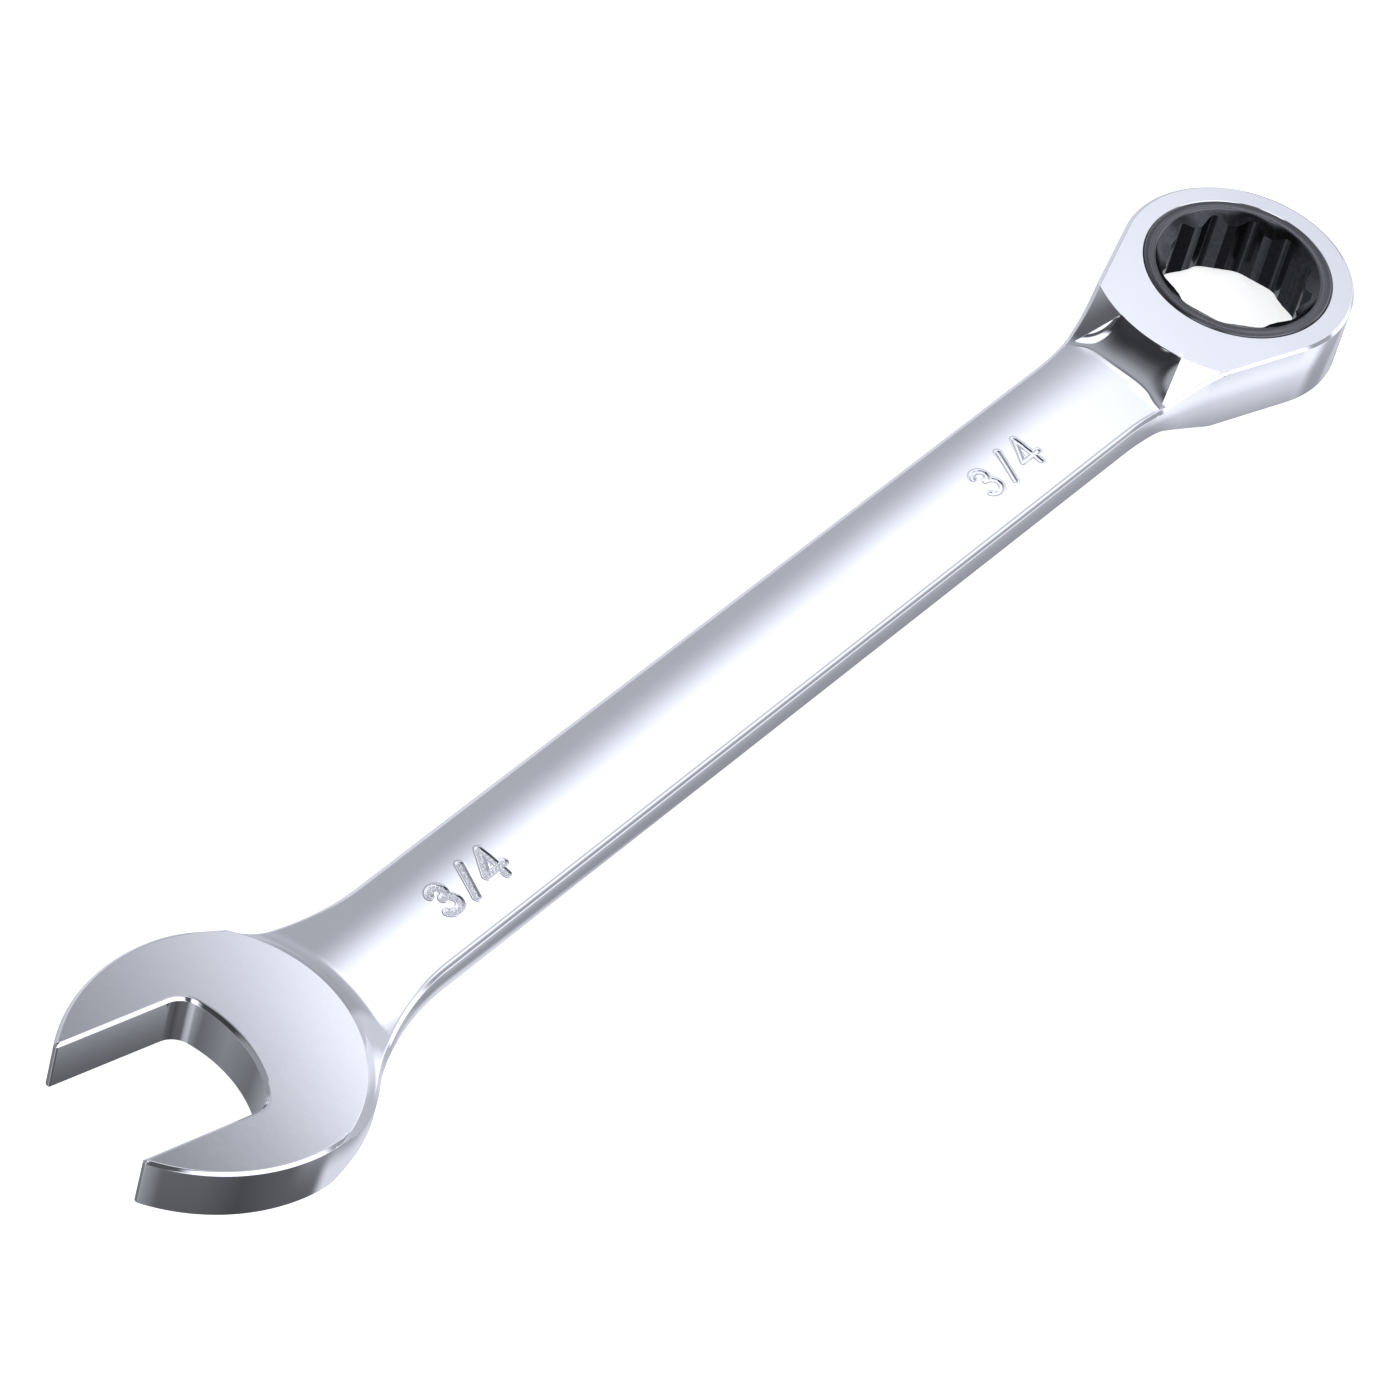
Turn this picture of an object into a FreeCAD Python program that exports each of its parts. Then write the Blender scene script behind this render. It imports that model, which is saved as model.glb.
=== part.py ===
import FreeCAD, Part
import math
import os
import Sketcher

# Ratcheting combination wrench, 3/4 inch (19.05 mm across flats).
#
# Frame: the origin is the centre of the ratchet socket, half way through its
# thickness.  +Z is the socket axis, +X runs from the open end to the ring end,
# so the shank and the open jaw lie along -X.  Millimetres throughout.
#
# Pieces, as they come apart on a bench:
#   wrench_body     forging: open jaw, shank and ratchet housing
#   ratchet_gear    twelve-point socket ring with 72 fine teeth
#   pawl            toothed block that slides in the neck and drives the gear
#   pawl_spring     coil spring behind the pawl
#   retaining_ring  open snap ring that holds the gear in the housing

V = FreeCAD.Vector
doc = FreeCAD.newDocument("ratcheting_combination_wrench")

# ------------------------------------------------------------------ the sheet
sheet = doc.addObject("Spreadsheet::Sheet", "Dimensions")
VALUES = [
    # ratchet housing
    ("housing_radius", 16.7, "outer radius of the ratchet housing"),
    ("housing_thickness", 10.8, "housing, face to face"),
    ("flank_angle", 19.2, "angle of the housing flanks to the shank, degrees"),
    ("ring_neck_radius", 45.0, "concave blend from the flanks to the shank"),
    ("ring_face_radius", 21.2, "arc where the housing face ends at the neck"),
    ("ring_scoop_radius", 9.0, "concave radius from housing face to shank"),
    ("ring_scoop_floor", 2.36, "height at which the ring scoop levels out"),
    # shank
    ("shank_width", 16.5, "shank width"),
    ("shank_thickness", 5.5, "shank thickness on its centre line"),
    ("shank_crown", 80.0, "crown radius of both shank faces"),
    ("shank_edge", 0.5, "rounding of the shank edges"),
    # open end
    ("jaw_gap", 19.2, "distance between the jaw faces"),
    ("jaw_angle", 15.0, "jaw axis to shank axis, degrees"),
    ("jaw_root_x", 208.8, "socket centre to jaw throat along the shank"),
    ("jaw_thickness", 8.2, "open head, face to face"),
    ("jaw_reach", 20.7, "throat to jaw tips along the jaw axis"),
    ("head_radius", 18.9, "outer radius of the open head, neck side"),
    ("head_back", 1.8, "centre of that radius ahead of the throat"),
    ("tip_radius", 25, "outer radius of the jaws towards the tips"),
    ("throat_radius", 18.6, "radius of the throat floor"),
    ("throat_depth", -0.15, "throat floor ahead of the throat datum"),
    ("throat_corner", 3.2, "corner radius in the throat"),
    ("neck_radius_far", 35.0, "concave neck radius, +Y side of the open head"),
    ("neck_radius_near", 36.0, "concave neck radius, -Y side"),
    ("open_face_x", 214.6, "centre of the arc that ends the open head face, x"),
    ("open_face_y", 2.3, "the same centre, y"),
    ("open_face_radius", 21.0, "radius of that arc"),
    ("open_scoop_radius", 5.5, "concave radius from open head face to shank"),
    ("open_scoop_floor", 2.22, "height at which the open scoop levels out"),
    ("edge_break", 0.4, "chamfer around both heads"),
    # gear housing bore and gear
    ("bore_radius", 13.42, "gear bore in the housing"),
    ("bore_break", 0.15, "chamfer at both ends of the bore"),
    ("journal_radius", 13.36, "smooth journals of the gear"),
    ("gear_height", 11.2, "gear, face to face"),
    ("gear_break", 0.25, "chamfer on the gear's outer edges"),
    ("socket_ridge", 9.95, "radius over the twelve ridges"),
    ("socket_corner", 11.05, "radius to the twelve corners"),
    ("socket_turn", -6.3, "how far the corners are turned from the teeth, degrees"),
    ("socket_lead_radius", 11.75, "outer radius of the lead-in cone"),
    ("socket_lead_depth", 1.6, "depth of the lead-in cone"),
    ("tooth_count", 72, "ratchet teeth"),
    ("tooth_height", 0.74, "depth of the ratchet teeth"),
    ("tooth_belt", 5.4, "width of the toothed belt"),
    # pawl
    ("pawl_height", 5.1, "pawl, top to bottom"),
    ("pawl_width", 9.2, "pawl across the shank"),
    ("pawl_back", 17.4, "socket axis to the back of the pawl at rest"),
    ("pawl_tip", 12.72, "radius over the pawl teeth"),
    ("pocket_height", 5.3, "pawl pocket, floor to roof"),
    ("pocket_width", 9.36, "pawl pocket across the shank"),
    ("pocket_back", 18.6, "socket axis to the pocket's back wall"),
    # spring
    ("spring_well_radius", 1.35, "spring hole in pawl and housing"),
    ("spring_front", 15.6, "socket axis to the spring's front end"),
    ("spring_back", 20.9, "socket axis to the spring's back end"),
    ("spring_radius", 1.0, "mean coil radius"),
    ("spring_wire", 0.36, "wire diameter"),
    ("spring_pitch", 1.05, "coil pitch"),
    # retaining ring
    ("snap_z", 4.0, "middle of the snap ring below the middle plane"),
    ("snap_thickness", 0.7, "snap ring thickness"),
    ("snap_inner", 12.72, "snap ring inner radius"),
    ("snap_outer", 13.98, "snap ring outer radius"),
    ("snap_groove_inner", 12.62, "bottom of the groove in the gear"),
    ("snap_groove_outer", 14.02, "bottom of the groove in the housing"),
    ("snap_groove_width", 0.8, "width of both grooves"),
    ("snap_gap", 20.0, "opening of the snap ring, degrees"),
]
D = {}
sheet.set("A1", "dimension")
sheet.set("B1", "value")
sheet.set("C1", "meaning")
for i, (name, value, why) in enumerate(VALUES):
    sheet.set("A%d" % (i + 2), name)
    sheet.set("B%d" % (i + 2), "%g" % value)
    sheet.set("C%d" % (i + 2), why)
    sheet.setAlias("B%d" % (i + 2), name)
    D[name] = float(value)
doc.recompute()


# ------------------------------------------------------------------- helpers
def plane(body, role):
    for f in body.Origin.OriginFeatures:
        if f.Role == role:
            return f
    raise RuntimeError("no plane " + role)


def new_sketch(body, name, role="XY_Plane"):
    sk = body.newObject("Sketcher::SketchObject", name)
    sk.AttachmentSupport = [(plane(body, role), "")]
    sk.MapMode = "FlatFace"
    return sk


def bind(sk, index, name, expression):
    sk.renameConstraint(index, name)
    sk.setExpression("Constraints." + name, expression)


def line(sk, a, b):
    return sk.addGeometry(Part.LineSegment(V(a[0], a[1], 0), V(b[0], b[1], 0)), False)


def arc(sk, c, r, a0, a1):
    """Counter-clockwise arc from angle a0 to a1, in radians."""
    return sk.addGeometry(
        Part.ArcOfCircle(Part.Circle(V(c[0], c[1], 0), V(0, 0, 1), r), a0, a1), False)


def circle(sk, c, r):
    return sk.addGeometry(Part.Circle(V(c[0], c[1], 0), V(0, 0, 1), r), False)


def tie(sk, g1, p1, g2, p2):
    sk.addConstraint(Sketcher.Constraint("Coincident", g1, p1, g2, p2))


def centre_on_origin(sk, g):
    sk.addConstraint(Sketcher.Constraint("Coincident", g, 3, -1, 1))


def radius(sk, g, name, expression):
    i = sk.addConstraint(Sketcher.Constraint("Radius", g, sk.Geometry[g].Radius))
    bind(sk, i, name, expression)


def at(sk, g, p, name, ex, ey, x, y):
    """Place a point by its distances from the sketch origin."""
    if abs(x) > 1e-9:
        i = sk.addConstraint(Sketcher.Constraint("DistanceX", -1, 1, g, p, x))
        bind(sk, i, name + "_x", ex)
    else:
        sk.addConstraint(Sketcher.Constraint("PointOnObject", g, p, -2))
    if abs(y) > 1e-9:
        i = sk.addConstraint(Sketcher.Constraint("DistanceY", -1, 1, g, p, y))
        bind(sk, i, name + "_y", ey)
    else:
        sk.addConstraint(Sketcher.Constraint("PointOnObject", g, p, -1))


def polygon(sk, points):
    """Closed chain of lines; returns the geometry indices."""
    n = len(points)
    ids = [line(sk, points[k], points[(k + 1) % n]) for k in range(n)]
    for k in range(n):
        tie(sk, ids[k], 2, ids[(k + 1) % n], 1)
    return ids


def rectangle(sk, x0, y0, x1, y1, name, ex0, ey0, ex1, ey1):
    ids = polygon(sk, [(x0, y0), (x1, y0), (x1, y1), (x0, y1)])
    sk.addConstraint(Sketcher.Constraint("Horizontal", ids[0]))
    sk.addConstraint(Sketcher.Constraint("Vertical", ids[1]))
    sk.addConstraint(Sketcher.Constraint("Horizontal", ids[2]))
    sk.addConstraint(Sketcher.Constraint("Vertical", ids[3]))
    at(sk, ids[0], 1, name + "_low", ex0, ey0, x0, y0)
    at(sk, ids[1], 2, name + "_high", ex1, ey1, x1, y1)
    return ids


def solid_of(obj):
    doc.recompute()
    s = obj.Shape
    if s.isNull() or not s.isValid():
        raise RuntimeError("bad shape in " + obj.Label)
    return s


def removed(body, feature, before, least):
    """A cut that points away from the solid removes nothing, so it is measured."""
    v = solid_of(body).Volume
    if before - v < least:
        raise RuntimeError("%s removed only %.4f mm3" % (feature.Name, before - v))
    return v


def S(name):
    return "Dimensions." + name


def is_wall(face):
    """True for the vertical faces: planes along Z and cylinders about Z."""
    f = face.Surface
    if f.TypeId == "Part::GeomPlane":
        return abs(f.Axis.z) < 1e-6
    if f.TypeId == "Part::GeomCylinder":
        return abs(abs(f.Axis.z) - 1.0) < 1e-6
    return False


def rim_edges(shape, test):
    """Names of the edges where a vertical face meets any other face."""
    owners = {}
    for f in shape.Faces:
        for e in f.Edges:
            owners.setdefault(e.hashCode(), []).append(f)
    names = []
    for n, e in enumerate(shape.Edges):
        fs = owners.get(e.hashCode(), [])
        if len(fs) != 2 or is_wall(fs[0]) == is_wall(fs[1]):
            continue
        p = e.valueAt((e.FirstParameter + e.LastParameter) / 2.0)
        if test(e, p):
            names.append("Edge%d" % (n + 1))
    return names


rad = math.radians
hyp = math.hypot

# =============================================================== wrench_body
body = doc.addObject("PartDesign::Body", "wrench_body")
body.Label = "wrench_body"

# 1. Shank bar: a lens section between two crowned faces, run through both necks.
half_t = D["shank_thickness"] / 2.0
crown = D["shank_crown"]
lens_half = math.sqrt(crown ** 2 - (crown - half_t) ** 2)
lens_angle = math.asin(lens_half / crown)
sk = new_sketch(body, "shank_section", "YZ_Plane")
up = arc(sk, (0, half_t - crown), crown, math.pi / 2 - lens_angle, math.pi / 2 + lens_angle)
dn = arc(sk, (0, crown - half_t), crown, -math.pi / 2 - lens_angle, -math.pi / 2 + lens_angle)
tie(sk, up, 1, dn, 2)
tie(sk, up, 2, dn, 1)
sk.addConstraint(Sketcher.Constraint("PointOnObject", up, 3, -2))
sk.addConstraint(Sketcher.Constraint("PointOnObject", dn, 3, -2))
sk.addConstraint(Sketcher.Constraint("PointOnObject", up, 1, -1))
radius(sk, up, "crown_top", S("shank_crown"))
radius(sk, dn, "crown_bottom", S("shank_crown"))
i = sk.addConstraint(Sketcher.Constraint("DistanceY", up, 3, -1, 1, crown - half_t))
bind(sk, i, "crown_offset", S("shank_crown") + " - " + S("shank_thickness") + " / 2")
bar = body.newObject("PartDesign::Pad", "shank_bar")
bar.Profile = sk
bar.Reversed = True
bar.setExpression("Length", S("jaw_root_x"))
doc.recompute()
if solid_of(body).BoundBox.XMin > -200:
    bar.Reversed = False
    doc.recompute()
if solid_of(body).BoundBox.XMin > -200:
    raise RuntimeError("the shank bar points the wrong way")


# 2. Head drums: a flat disc with a concave skirt that runs down to the bar.
def drum(name, cx, cy, half, face_r, scoop_r, floor, ex):
    """Revolved about Z through (cx, cy).  half: half thickness of the head."""
    run = math.sqrt(scoop_r ** 2 - (scoop_r - (half - floor)) ** 2)
    rc, zc = face_r + run, floor + scoop_r
    a_top = math.atan2(half - zc, face_r - rc)
    base = body.newObject("Sketcher::SketchObject", name + "_profile")
    base.AttachmentSupport = [(plane(body, "XZ_Plane"), "")]
    base.MapMode = "FlatFace"
    base.AttachmentOffset = FreeCAD.Placement(V(0, 0, -cy), FreeCAD.Rotation())
    g0 = line(base, (cx, -half), (cx, half))
    g1 = line(base, (cx, half), (cx + face_r, half))
    g2 = arc(base, (cx + rc, zc), scoop_r, a_top % (2 * math.pi), 1.5 * math.pi)
    g3 = line(base, (cx + rc, floor), (cx + rc, -floor))
    g4 = arc(base, (cx + rc, -zc), scoop_r, 0.5 * math.pi, (-a_top) % (2 * math.pi))
    g5 = line(base, (cx + face_r, -half), (cx, -half))
    tie(base, g0, 2, g1, 1)
    tie(base, g1, 2, g2, 1)
    tie(base, g2, 2, g3, 1)
    tie(base, g3, 2, g4, 1)
    tie(base, g4, 2, g5, 1)
    tie(base, g5, 2, g0, 1)
    base.addConstraint(Sketcher.Constraint("Vertical", g0))
    base.addConstraint(Sketcher.Constraint("Horizontal", g1))
    base.addConstraint(Sketcher.Constraint("Vertical", g3))
    base.addConstraint(Sketcher.Constraint("Horizontal", g5))
    at(base, g0, 2, "top", ex["cx"], ex["half"], cx, half)
    i = base.addConstraint(Sketcher.Constraint("DistanceX", g1, 1, g1, 2, face_r))
    bind(base, i, "face_radius", ex["face"])
    radius(base, g2, "scoop_top", ex["scoop"])
    radius(base, g4, "scoop_bottom", ex["scoop"])
    i = base.addConstraint(Sketcher.Constraint("DistanceY", -1, 1, g2, 2, floor))
    bind(base, i, "floor_top", ex["floor"])
    i = base.addConstraint(Sketcher.Constraint("DistanceY", g3, 2, -1, 1, floor))
    bind(base, i, "floor_bottom", ex["floor"])
    i = base.addConstraint(Sketcher.Constraint("DistanceY", g0, 1, -1, 1, half))
    bind(base, i, "bottom", ex["half"])
    base.addConstraint(Sketcher.Constraint("Vertical", g2, 3, g2, 2))
    base.addConstraint(Sketcher.Constraint("Vertical", g4, 3, g4, 1))
    rev = body.newObject("PartDesign::Revolution", name)
    rev.Profile = base
    rev.ReferenceAxis = (base, ["V_Axis"]) if abs(cx) < 1e-9 else (base, ["Edge1"])
    rev.Angle = 360
    doc.recompute()
    return base, rev


half_h = D["housing_thickness"] / 2.0
drum("housing_drum", 0.0, 0.0, half_h, D["ring_face_radius"], D["ring_scoop_radius"],
     D["ring_scoop_floor"],
     {"cx": "0", "half": S("housing_thickness") + " / 2", "face": S("ring_face_radius"),
      "scoop": S("ring_scoop_radius"), "floor": S("ring_scoop_floor")})
half_o = D["jaw_thickness"] / 2.0
osk, orev = drum("open_drum", -D["open_face_x"], D["open_face_y"], half_o,
                 D["open_face_radius"], D["open_scoop_radius"], D["open_scoop_floor"],
                 {"cx": "-" + S("open_face_x"), "half": S("jaw_thickness") + " / 2",
                  "face": S("open_face_radius"), "scoop": S("open_scoop_radius"),
                  "floor": S("open_scoop_floor")})
osk.setExpression("AttachmentOffset.Base.z", "-" + S("open_face_y"))
blank = solid_of(body)
print("blank", blank.BoundBox, round(blank.Volume, 1), len(blank.Solids))

# 3. Plan outline.  Everything outside it is trimmed away in one through cut.
phi = -rad(D["jaw_angle"])
ax = (math.cos(phi), math.sin(phi))          # jaw axis, towards the shank
ay = (-math.sin(phi), math.cos(phi))
J = (-D["jaw_root_x"], 0.0)


def jaw(u, w):
    """Jaw frame to body frame: u along the jaw axis, w across it."""
    return (J[0] + u * ax[0] + w * ay[0], J[1] + u * ax[1] + w * ay[1])


half_w = D["shank_width"] / 2.0
beta = rad(D["flank_angle"])
R1 = D["housing_radius"]
Rn = D["ring_neck_radius"]
t_top = (-R1 * math.sin(beta), R1 * math.cos(beta))
x_cross = t_top[0] - (t_top[1] - half_w) / math.tan(beta)
tl = Rn * math.tan(beta / 2)
b0 = (x_cross + tl * math.cos(beta), half_w + tl * math.sin(beta))   # blend starts on flank
b1 = (x_cross - tl, half_w)                                          # blend ends on shank
C = jaw(-D["head_back"], 0.0)
Rh = D["head_radius"]


def neck(side, r):
    """Concave arc tangent to the shank edge and to the open head circle."""
    cy = side * (half_w + r)
    cx = C[0] + math.sqrt((r + Rh) ** 2 - (cy - C[1]) ** 2)
    k = Rh / (r + Rh)
    return (cx, cy), (C[0] + (cx - C[0]) * k, C[1] + (cy - C[1]) * k)


far_c, far_t = neck(1, D["neck_radius_far"])
near_c, near_t = neck(-1, D["neck_radius_near"])
Rt = D["tip_radius"]
top_pt = jaw(-D["head_back"], Rh)
bot_pt = jaw(-D["head_back"], -Rh)
tip_c_top = jaw(-D["head_back"], Rh - Rt)
tip_c_bot = jaw(-D["head_back"], Rt - Rh)
reach = D["jaw_reach"]
tip_w = Rh - Rt + math.sqrt(Rt ** 2 - (reach - D["head_back"]) ** 2)
tip_out_top = jaw(-reach, tip_w)
tip_out_bot = jaw(-reach, -tip_w)
g = D["jaw_gap"] / 2.0
tip_in_top = jaw(-reach, g)
tip_in_bot = jaw(-reach, -g)
# throat: jaw face, corner radius, floor arc, corner radius, jaw face
Rf, rc = D["throat_radius"], D["throat_corner"]
fc_u = -D["throat_depth"] - Rf
cor_w = g - rc
cor_u = fc_u + math.sqrt((Rf - rc) ** 2 - cor_w ** 2)
k = Rf / (Rf - rc)
floor_t = (fc_u + (cor_u - fc_u) * k, cor_w * k)


def ang(c, p):
    return math.atan2(p[1] - c[1], p[0] - c[0])


sk = new_sketch(body, "plan_outline")
O = (0.0, 0.0)
two = 2 * math.pi


def arc_pts(c, r, p_start, p_end):
    """Counter-clockwise arc through two points already on the circle."""
    a0 = ang(c, p_start) % two
    a1 = ang(c, p_end) % two
    if a1 <= a0:
        a1 += two
    return arc(sk, c, r, a0, a1)


mir = lambda p: (p[0], -p[1])
chain = []          # (geometry, start point id, end point id), walked clockwise from +X side


def add(gid, s, e):
    chain.append((gid, s, e))
    return gid


g_ring = add(arc_pts(O, R1, mir(t_top), t_top), 1, 2)
g_fl_t = add(line(sk, t_top, b0), 1, 2)
g_bl_t = add(arc_pts((b1[0], half_w + Rn), Rn, b1, b0), 2, 1)
g_sh_t = add(line(sk, b1, (far_c[0], half_w)), 1, 2)
g_nk_t = add(arc_pts(far_c, D["neck_radius_far"], far_t, (far_c[0], half_w)), 2, 1)
g_hd_t = add(arc_pts(C, Rh, far_t, top_pt), 1, 2)
g_tp_t = add(arc_pts(tip_c_top, Rt, top_pt, tip_out_top), 1, 2)
g_en_t = add(line(sk, tip_out_top, tip_in_top), 1, 2)
g_jw_t = add(line(sk, tip_in_top, jaw(cor_u, g)), 1, 2)
g_co_t = add(arc_pts(jaw(cor_u, cor_w), rc, jaw(*floor_t), jaw(cor_u, g)), 2, 1)
g_flr = add(arc_pts(jaw(fc_u, 0), Rf, jaw(floor_t[0], -floor_t[1]), jaw(*floor_t)), 2, 1)
g_co_b = add(arc_pts(jaw(cor_u, -cor_w), rc, jaw(cor_u, -g), jaw(floor_t[0], -floor_t[1])), 2, 1)
g_jw_b = add(line(sk, jaw(cor_u, -g), tip_in_bot), 1, 2)
g_en_b = add(line(sk, tip_in_bot, tip_out_bot), 1, 2)
g_tp_b = add(arc_pts(tip_c_bot, Rt, tip_out_bot, bot_pt), 1, 2)
g_hd_b = add(arc_pts(C, Rh, bot_pt, near_t), 1, 2)
g_nk_b = add(arc_pts(near_c, D["neck_radius_near"], (near_c[0], -half_w), near_t), 2, 1)
g_sh_b = add(line(sk, (near_c[0], -half_w), mir(b1)), 1, 2)
g_bl_b = add(arc_pts((b1[0], -half_w - Rn), Rn, mir(b0), mir(b1)), 2, 1)
g_fl_b = add(line(sk, mir(b0), mir(t_top)), 1, 2)
for k in range(len(chain)):
    a, b = chain[k], chain[(k + 1) % len(chain)]
    tie(sk, a[0], a[2], b[0], b[1])
centre_on_origin(sk, g_ring)
radius(sk, g_ring, "housing_radius", S("housing_radius"))
radius(sk, g_bl_t, "ring_neck_top", S("ring_neck_radius"))
radius(sk, g_bl_b, "ring_neck_bottom", S("ring_neck_radius"))
radius(sk, g_nk_t, "neck_far", S("neck_radius_far"))
radius(sk, g_nk_b, "neck_near", S("neck_radius_near"))
radius(sk, g_hd_t, "head_top", S("head_radius"))
radius(sk, g_hd_b, "head_bottom", S("head_radius"))
radius(sk, g_tp_t, "tip_top", S("tip_radius"))
radius(sk, g_tp_b, "tip_bottom", S("tip_radius"))
radius(sk, g_co_t, "corner_top", S("throat_corner"))
radius(sk, g_co_b, "corner_bottom", S("throat_corner"))
radius(sk, g_flr, "throat_floor", S("throat_radius"))
sk.addConstraint(Sketcher.Constraint("Horizontal", g_sh_t))
sk.addConstraint(Sketcher.Constraint("Horizontal", g_sh_b))
i = sk.addConstraint(Sketcher.Constraint("DistanceY", -1, 1, g_sh_t, 1, half_w))
bind(sk, i, "shank_half_top", S("shank_width") + " / 2")
i = sk.addConstraint(Sketcher.Constraint("DistanceY", g_sh_b, 1, -1, 1, half_w))
bind(sk, i, "shank_half_bottom", S("shank_width") + " / 2")
# outer frame of the trim
rectangle(sk, -260.0, -60.0, 60.0, 60.0, "trim", "-260", "-60", "60", "60")
trim = body.newObject("PartDesign::Pocket", "trim_to_outline")
trim.Profile = sk
trim.Type = 1
trim.Midplane = True
before = blank.Volume
doc.recompute()
vol = removed(body, trim, before, 1000.0)
print("trimmed", round(vol, 1), body.Shape.BoundBox, len(body.Shape.Solids), "solver", sk.solve())

# 4. Broken edges around both head faces, then rounded shank edges.
def on_head_face(e, p):
    return abs(abs(p.z) - half_h) < 1e-5 or abs(abs(p.z) - half_o) < 1e-5


names = rim_edges(body.Shape, on_head_face)
brk = body.newObject("PartDesign::Chamfer", "edge_break")
brk.Base = (trim, names)
brk.setExpression("Size", S("edge_break"))
vol = removed(body, brk, vol, 5.0)


def on_shank(e, p):
    return e.Curve.TypeId == "Part::GeomLine" and abs(abs(p.y) - half_w) < 1e-4


names = rim_edges(body.Shape, on_shank)
rnd = body.newObject("PartDesign::Fillet", "shank_edges")
rnd.Base = (brk, names)
rnd.setExpression("Radius", S("shank_edge"))
vol = removed(body, rnd, vol, 5.0)
print("edges", len(names), round(vol, 1), len(solid_of(body).Solids))

# 5. Gear bore through the housing.
sk = new_sketch(body, "bore_outline")
c = circle(sk, (0, 0), D["bore_radius"])
centre_on_origin(sk, c)
radius(sk, c, "bore_radius", S("bore_radius"))
bore = body.newObject("PartDesign::Pocket", "gear_bore")
bore.Profile = sk
bore.Type = 1
bore.Midplane = True
vol = removed(body, bore, vol, 5000.0)


def on_bore(e, p):
    return (abs(hyp(p.x, p.y) - D["bore_radius"]) < 1e-4
            and abs(abs(p.z) - half_h) < 1e-4)


names = rim_edges(body.Shape, on_bore)
cb = body.newObject("PartDesign::Chamfer", "bore_break")
cb.Base = (bore, names)
cb.setExpression("Size", S("bore_break"))
vol = removed(body, cb, vol, 1.0)

# 6. Snap ring groove near the underside.
sk = new_sketch(body, "snap_groove_section", "XZ_Plane")
sz, sw = D["snap_z"], D["snap_groove_width"]
rectangle(sk, D["bore_radius"] - 0.5, -sz - sw / 2, D["snap_groove_outer"], -sz + sw / 2, "groove",
          S("bore_radius") + " - 0.5", "-" + S("snap_z") + " - " + S("snap_groove_width") + " / 2",
          S("snap_groove_outer"), "-" + S("snap_z") + " + " + S("snap_groove_width") + " / 2")
gr = body.newObject("PartDesign::Groove", "snap_groove")
gr.Profile = sk
gr.ReferenceAxis = (sk, ["V_Axis"])
gr.Angle = 360
vol = removed(body, gr, vol, 20.0)

# 7. Pawl pocket: a slot from the bore into the neck, closed above and below.
sk = new_sketch(body, "pawl_pocket_outline")
hw = D["pocket_width"] / 2.0
rectangle(sk, -D["pocket_back"], -hw, -8.0, hw, "pocket",
          "-" + S("pocket_back"), "-" + S("pocket_width") + " / 2", "-8",
          S("pocket_width") + " / 2")
pk = body.newObject("PartDesign::Pocket", "pawl_pocket")
pk.Profile = sk
pk.Type = 0
pk.Midplane = True
pk.setExpression("Length", S("pocket_height"))
vol = removed(body, pk, vol, 100.0)

# 8. Spring well behind the pocket.
sk = new_sketch(body, "spring_well_outline", "YZ_Plane")
c = circle(sk, (0, 0), D["spring_well_radius"])
centre_on_origin(sk, c)
radius(sk, c, "well_radius", S("spring_well_radius"))
sk.setExpression("AttachmentOffset.Base.z", "-" + S("pocket_back") + " + 0.5")
well = body.newObject("PartDesign::Pocket", "spring_well")
well.Profile = sk
well.Type = 0
well.setExpression("Length", S("spring_back") + " - " + S("pocket_back") + " + 0.5")
doc.recompute()
if vol - body.Shape.Volume < 5.0:
    well.Reversed = True
vol = removed(body, well, vol, 5.0)
print("body", round(vol, 1), len(body.Shape.Solids))

# ============================================================== ratchet_gear
gear = doc.addObject("PartDesign::Body", "ratchet_gear")
gear.Label = "ratchet_gear"
half_g = D["gear_height"] / 2.0
sk = new_sketch(gear, "journal_outline")
c = circle(sk, (0, 0), D["journal_radius"])
centre_on_origin(sk, c)
radius(sk, c, "journal_radius", S("journal_radius"))
pad = gear.newObject("PartDesign::Pad", "journal")
pad.Profile = sk
pad.Midplane = True
pad.setExpression("Length", S("gear_height"))
gvol = solid_of(gear).Volume
names = ["Edge%d" % (n + 1) for n, e in enumerate(gear.Shape.Edges)
         if e.Curve.TypeId == "Part::GeomCircle"]
gb = gear.newObject("PartDesign::Chamfer", "gear_break")
gb.Base = (pad, names)
gb.setExpression("Size", S("gear_break"))
gvol = removed(gear, gb, gvol, 1.0)

# Round hole over the ridges, then one rounded corner notch, twelve times.
sk = new_sketch(gear, "ridge_circle")
c = circle(sk, (0, 0), D["socket_ridge"])
centre_on_origin(sk, c)
radius(sk, c, "ridge_radius", S("socket_ridge"))
hole = gear.newObject("PartDesign::Pocket", "socket_hole")
hole.Profile = sk
hole.Type = 1
hole.Midplane = True
gvol = removed(gear, hole, gvol, 1000.0)

rr, rk = D["socket_ridge"], D["socket_corner"]
sk = new_sketch(gear, "corner_notch")
sk.AttachmentOffset = FreeCAD.Placement(V(0, 0, 0),
                                        FreeCAD.Rotation(V(0, 0, 1), D["socket_turn"]))
sk.setExpression("AttachmentOffset.Rotation.Angle", S("socket_turn"))
rn = 1.15                                    # rounding in the corner
half_mouth = rad(15.0) - 0.65 / rr           # half angle of the notch at the ridges
mouth = (rr * math.cos(half_mouth), rr * math.sin(half_mouth))
inner = (rr - 1.2) * math.cos(half_mouth)
cc = (rk - rn, 0.0)
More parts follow.
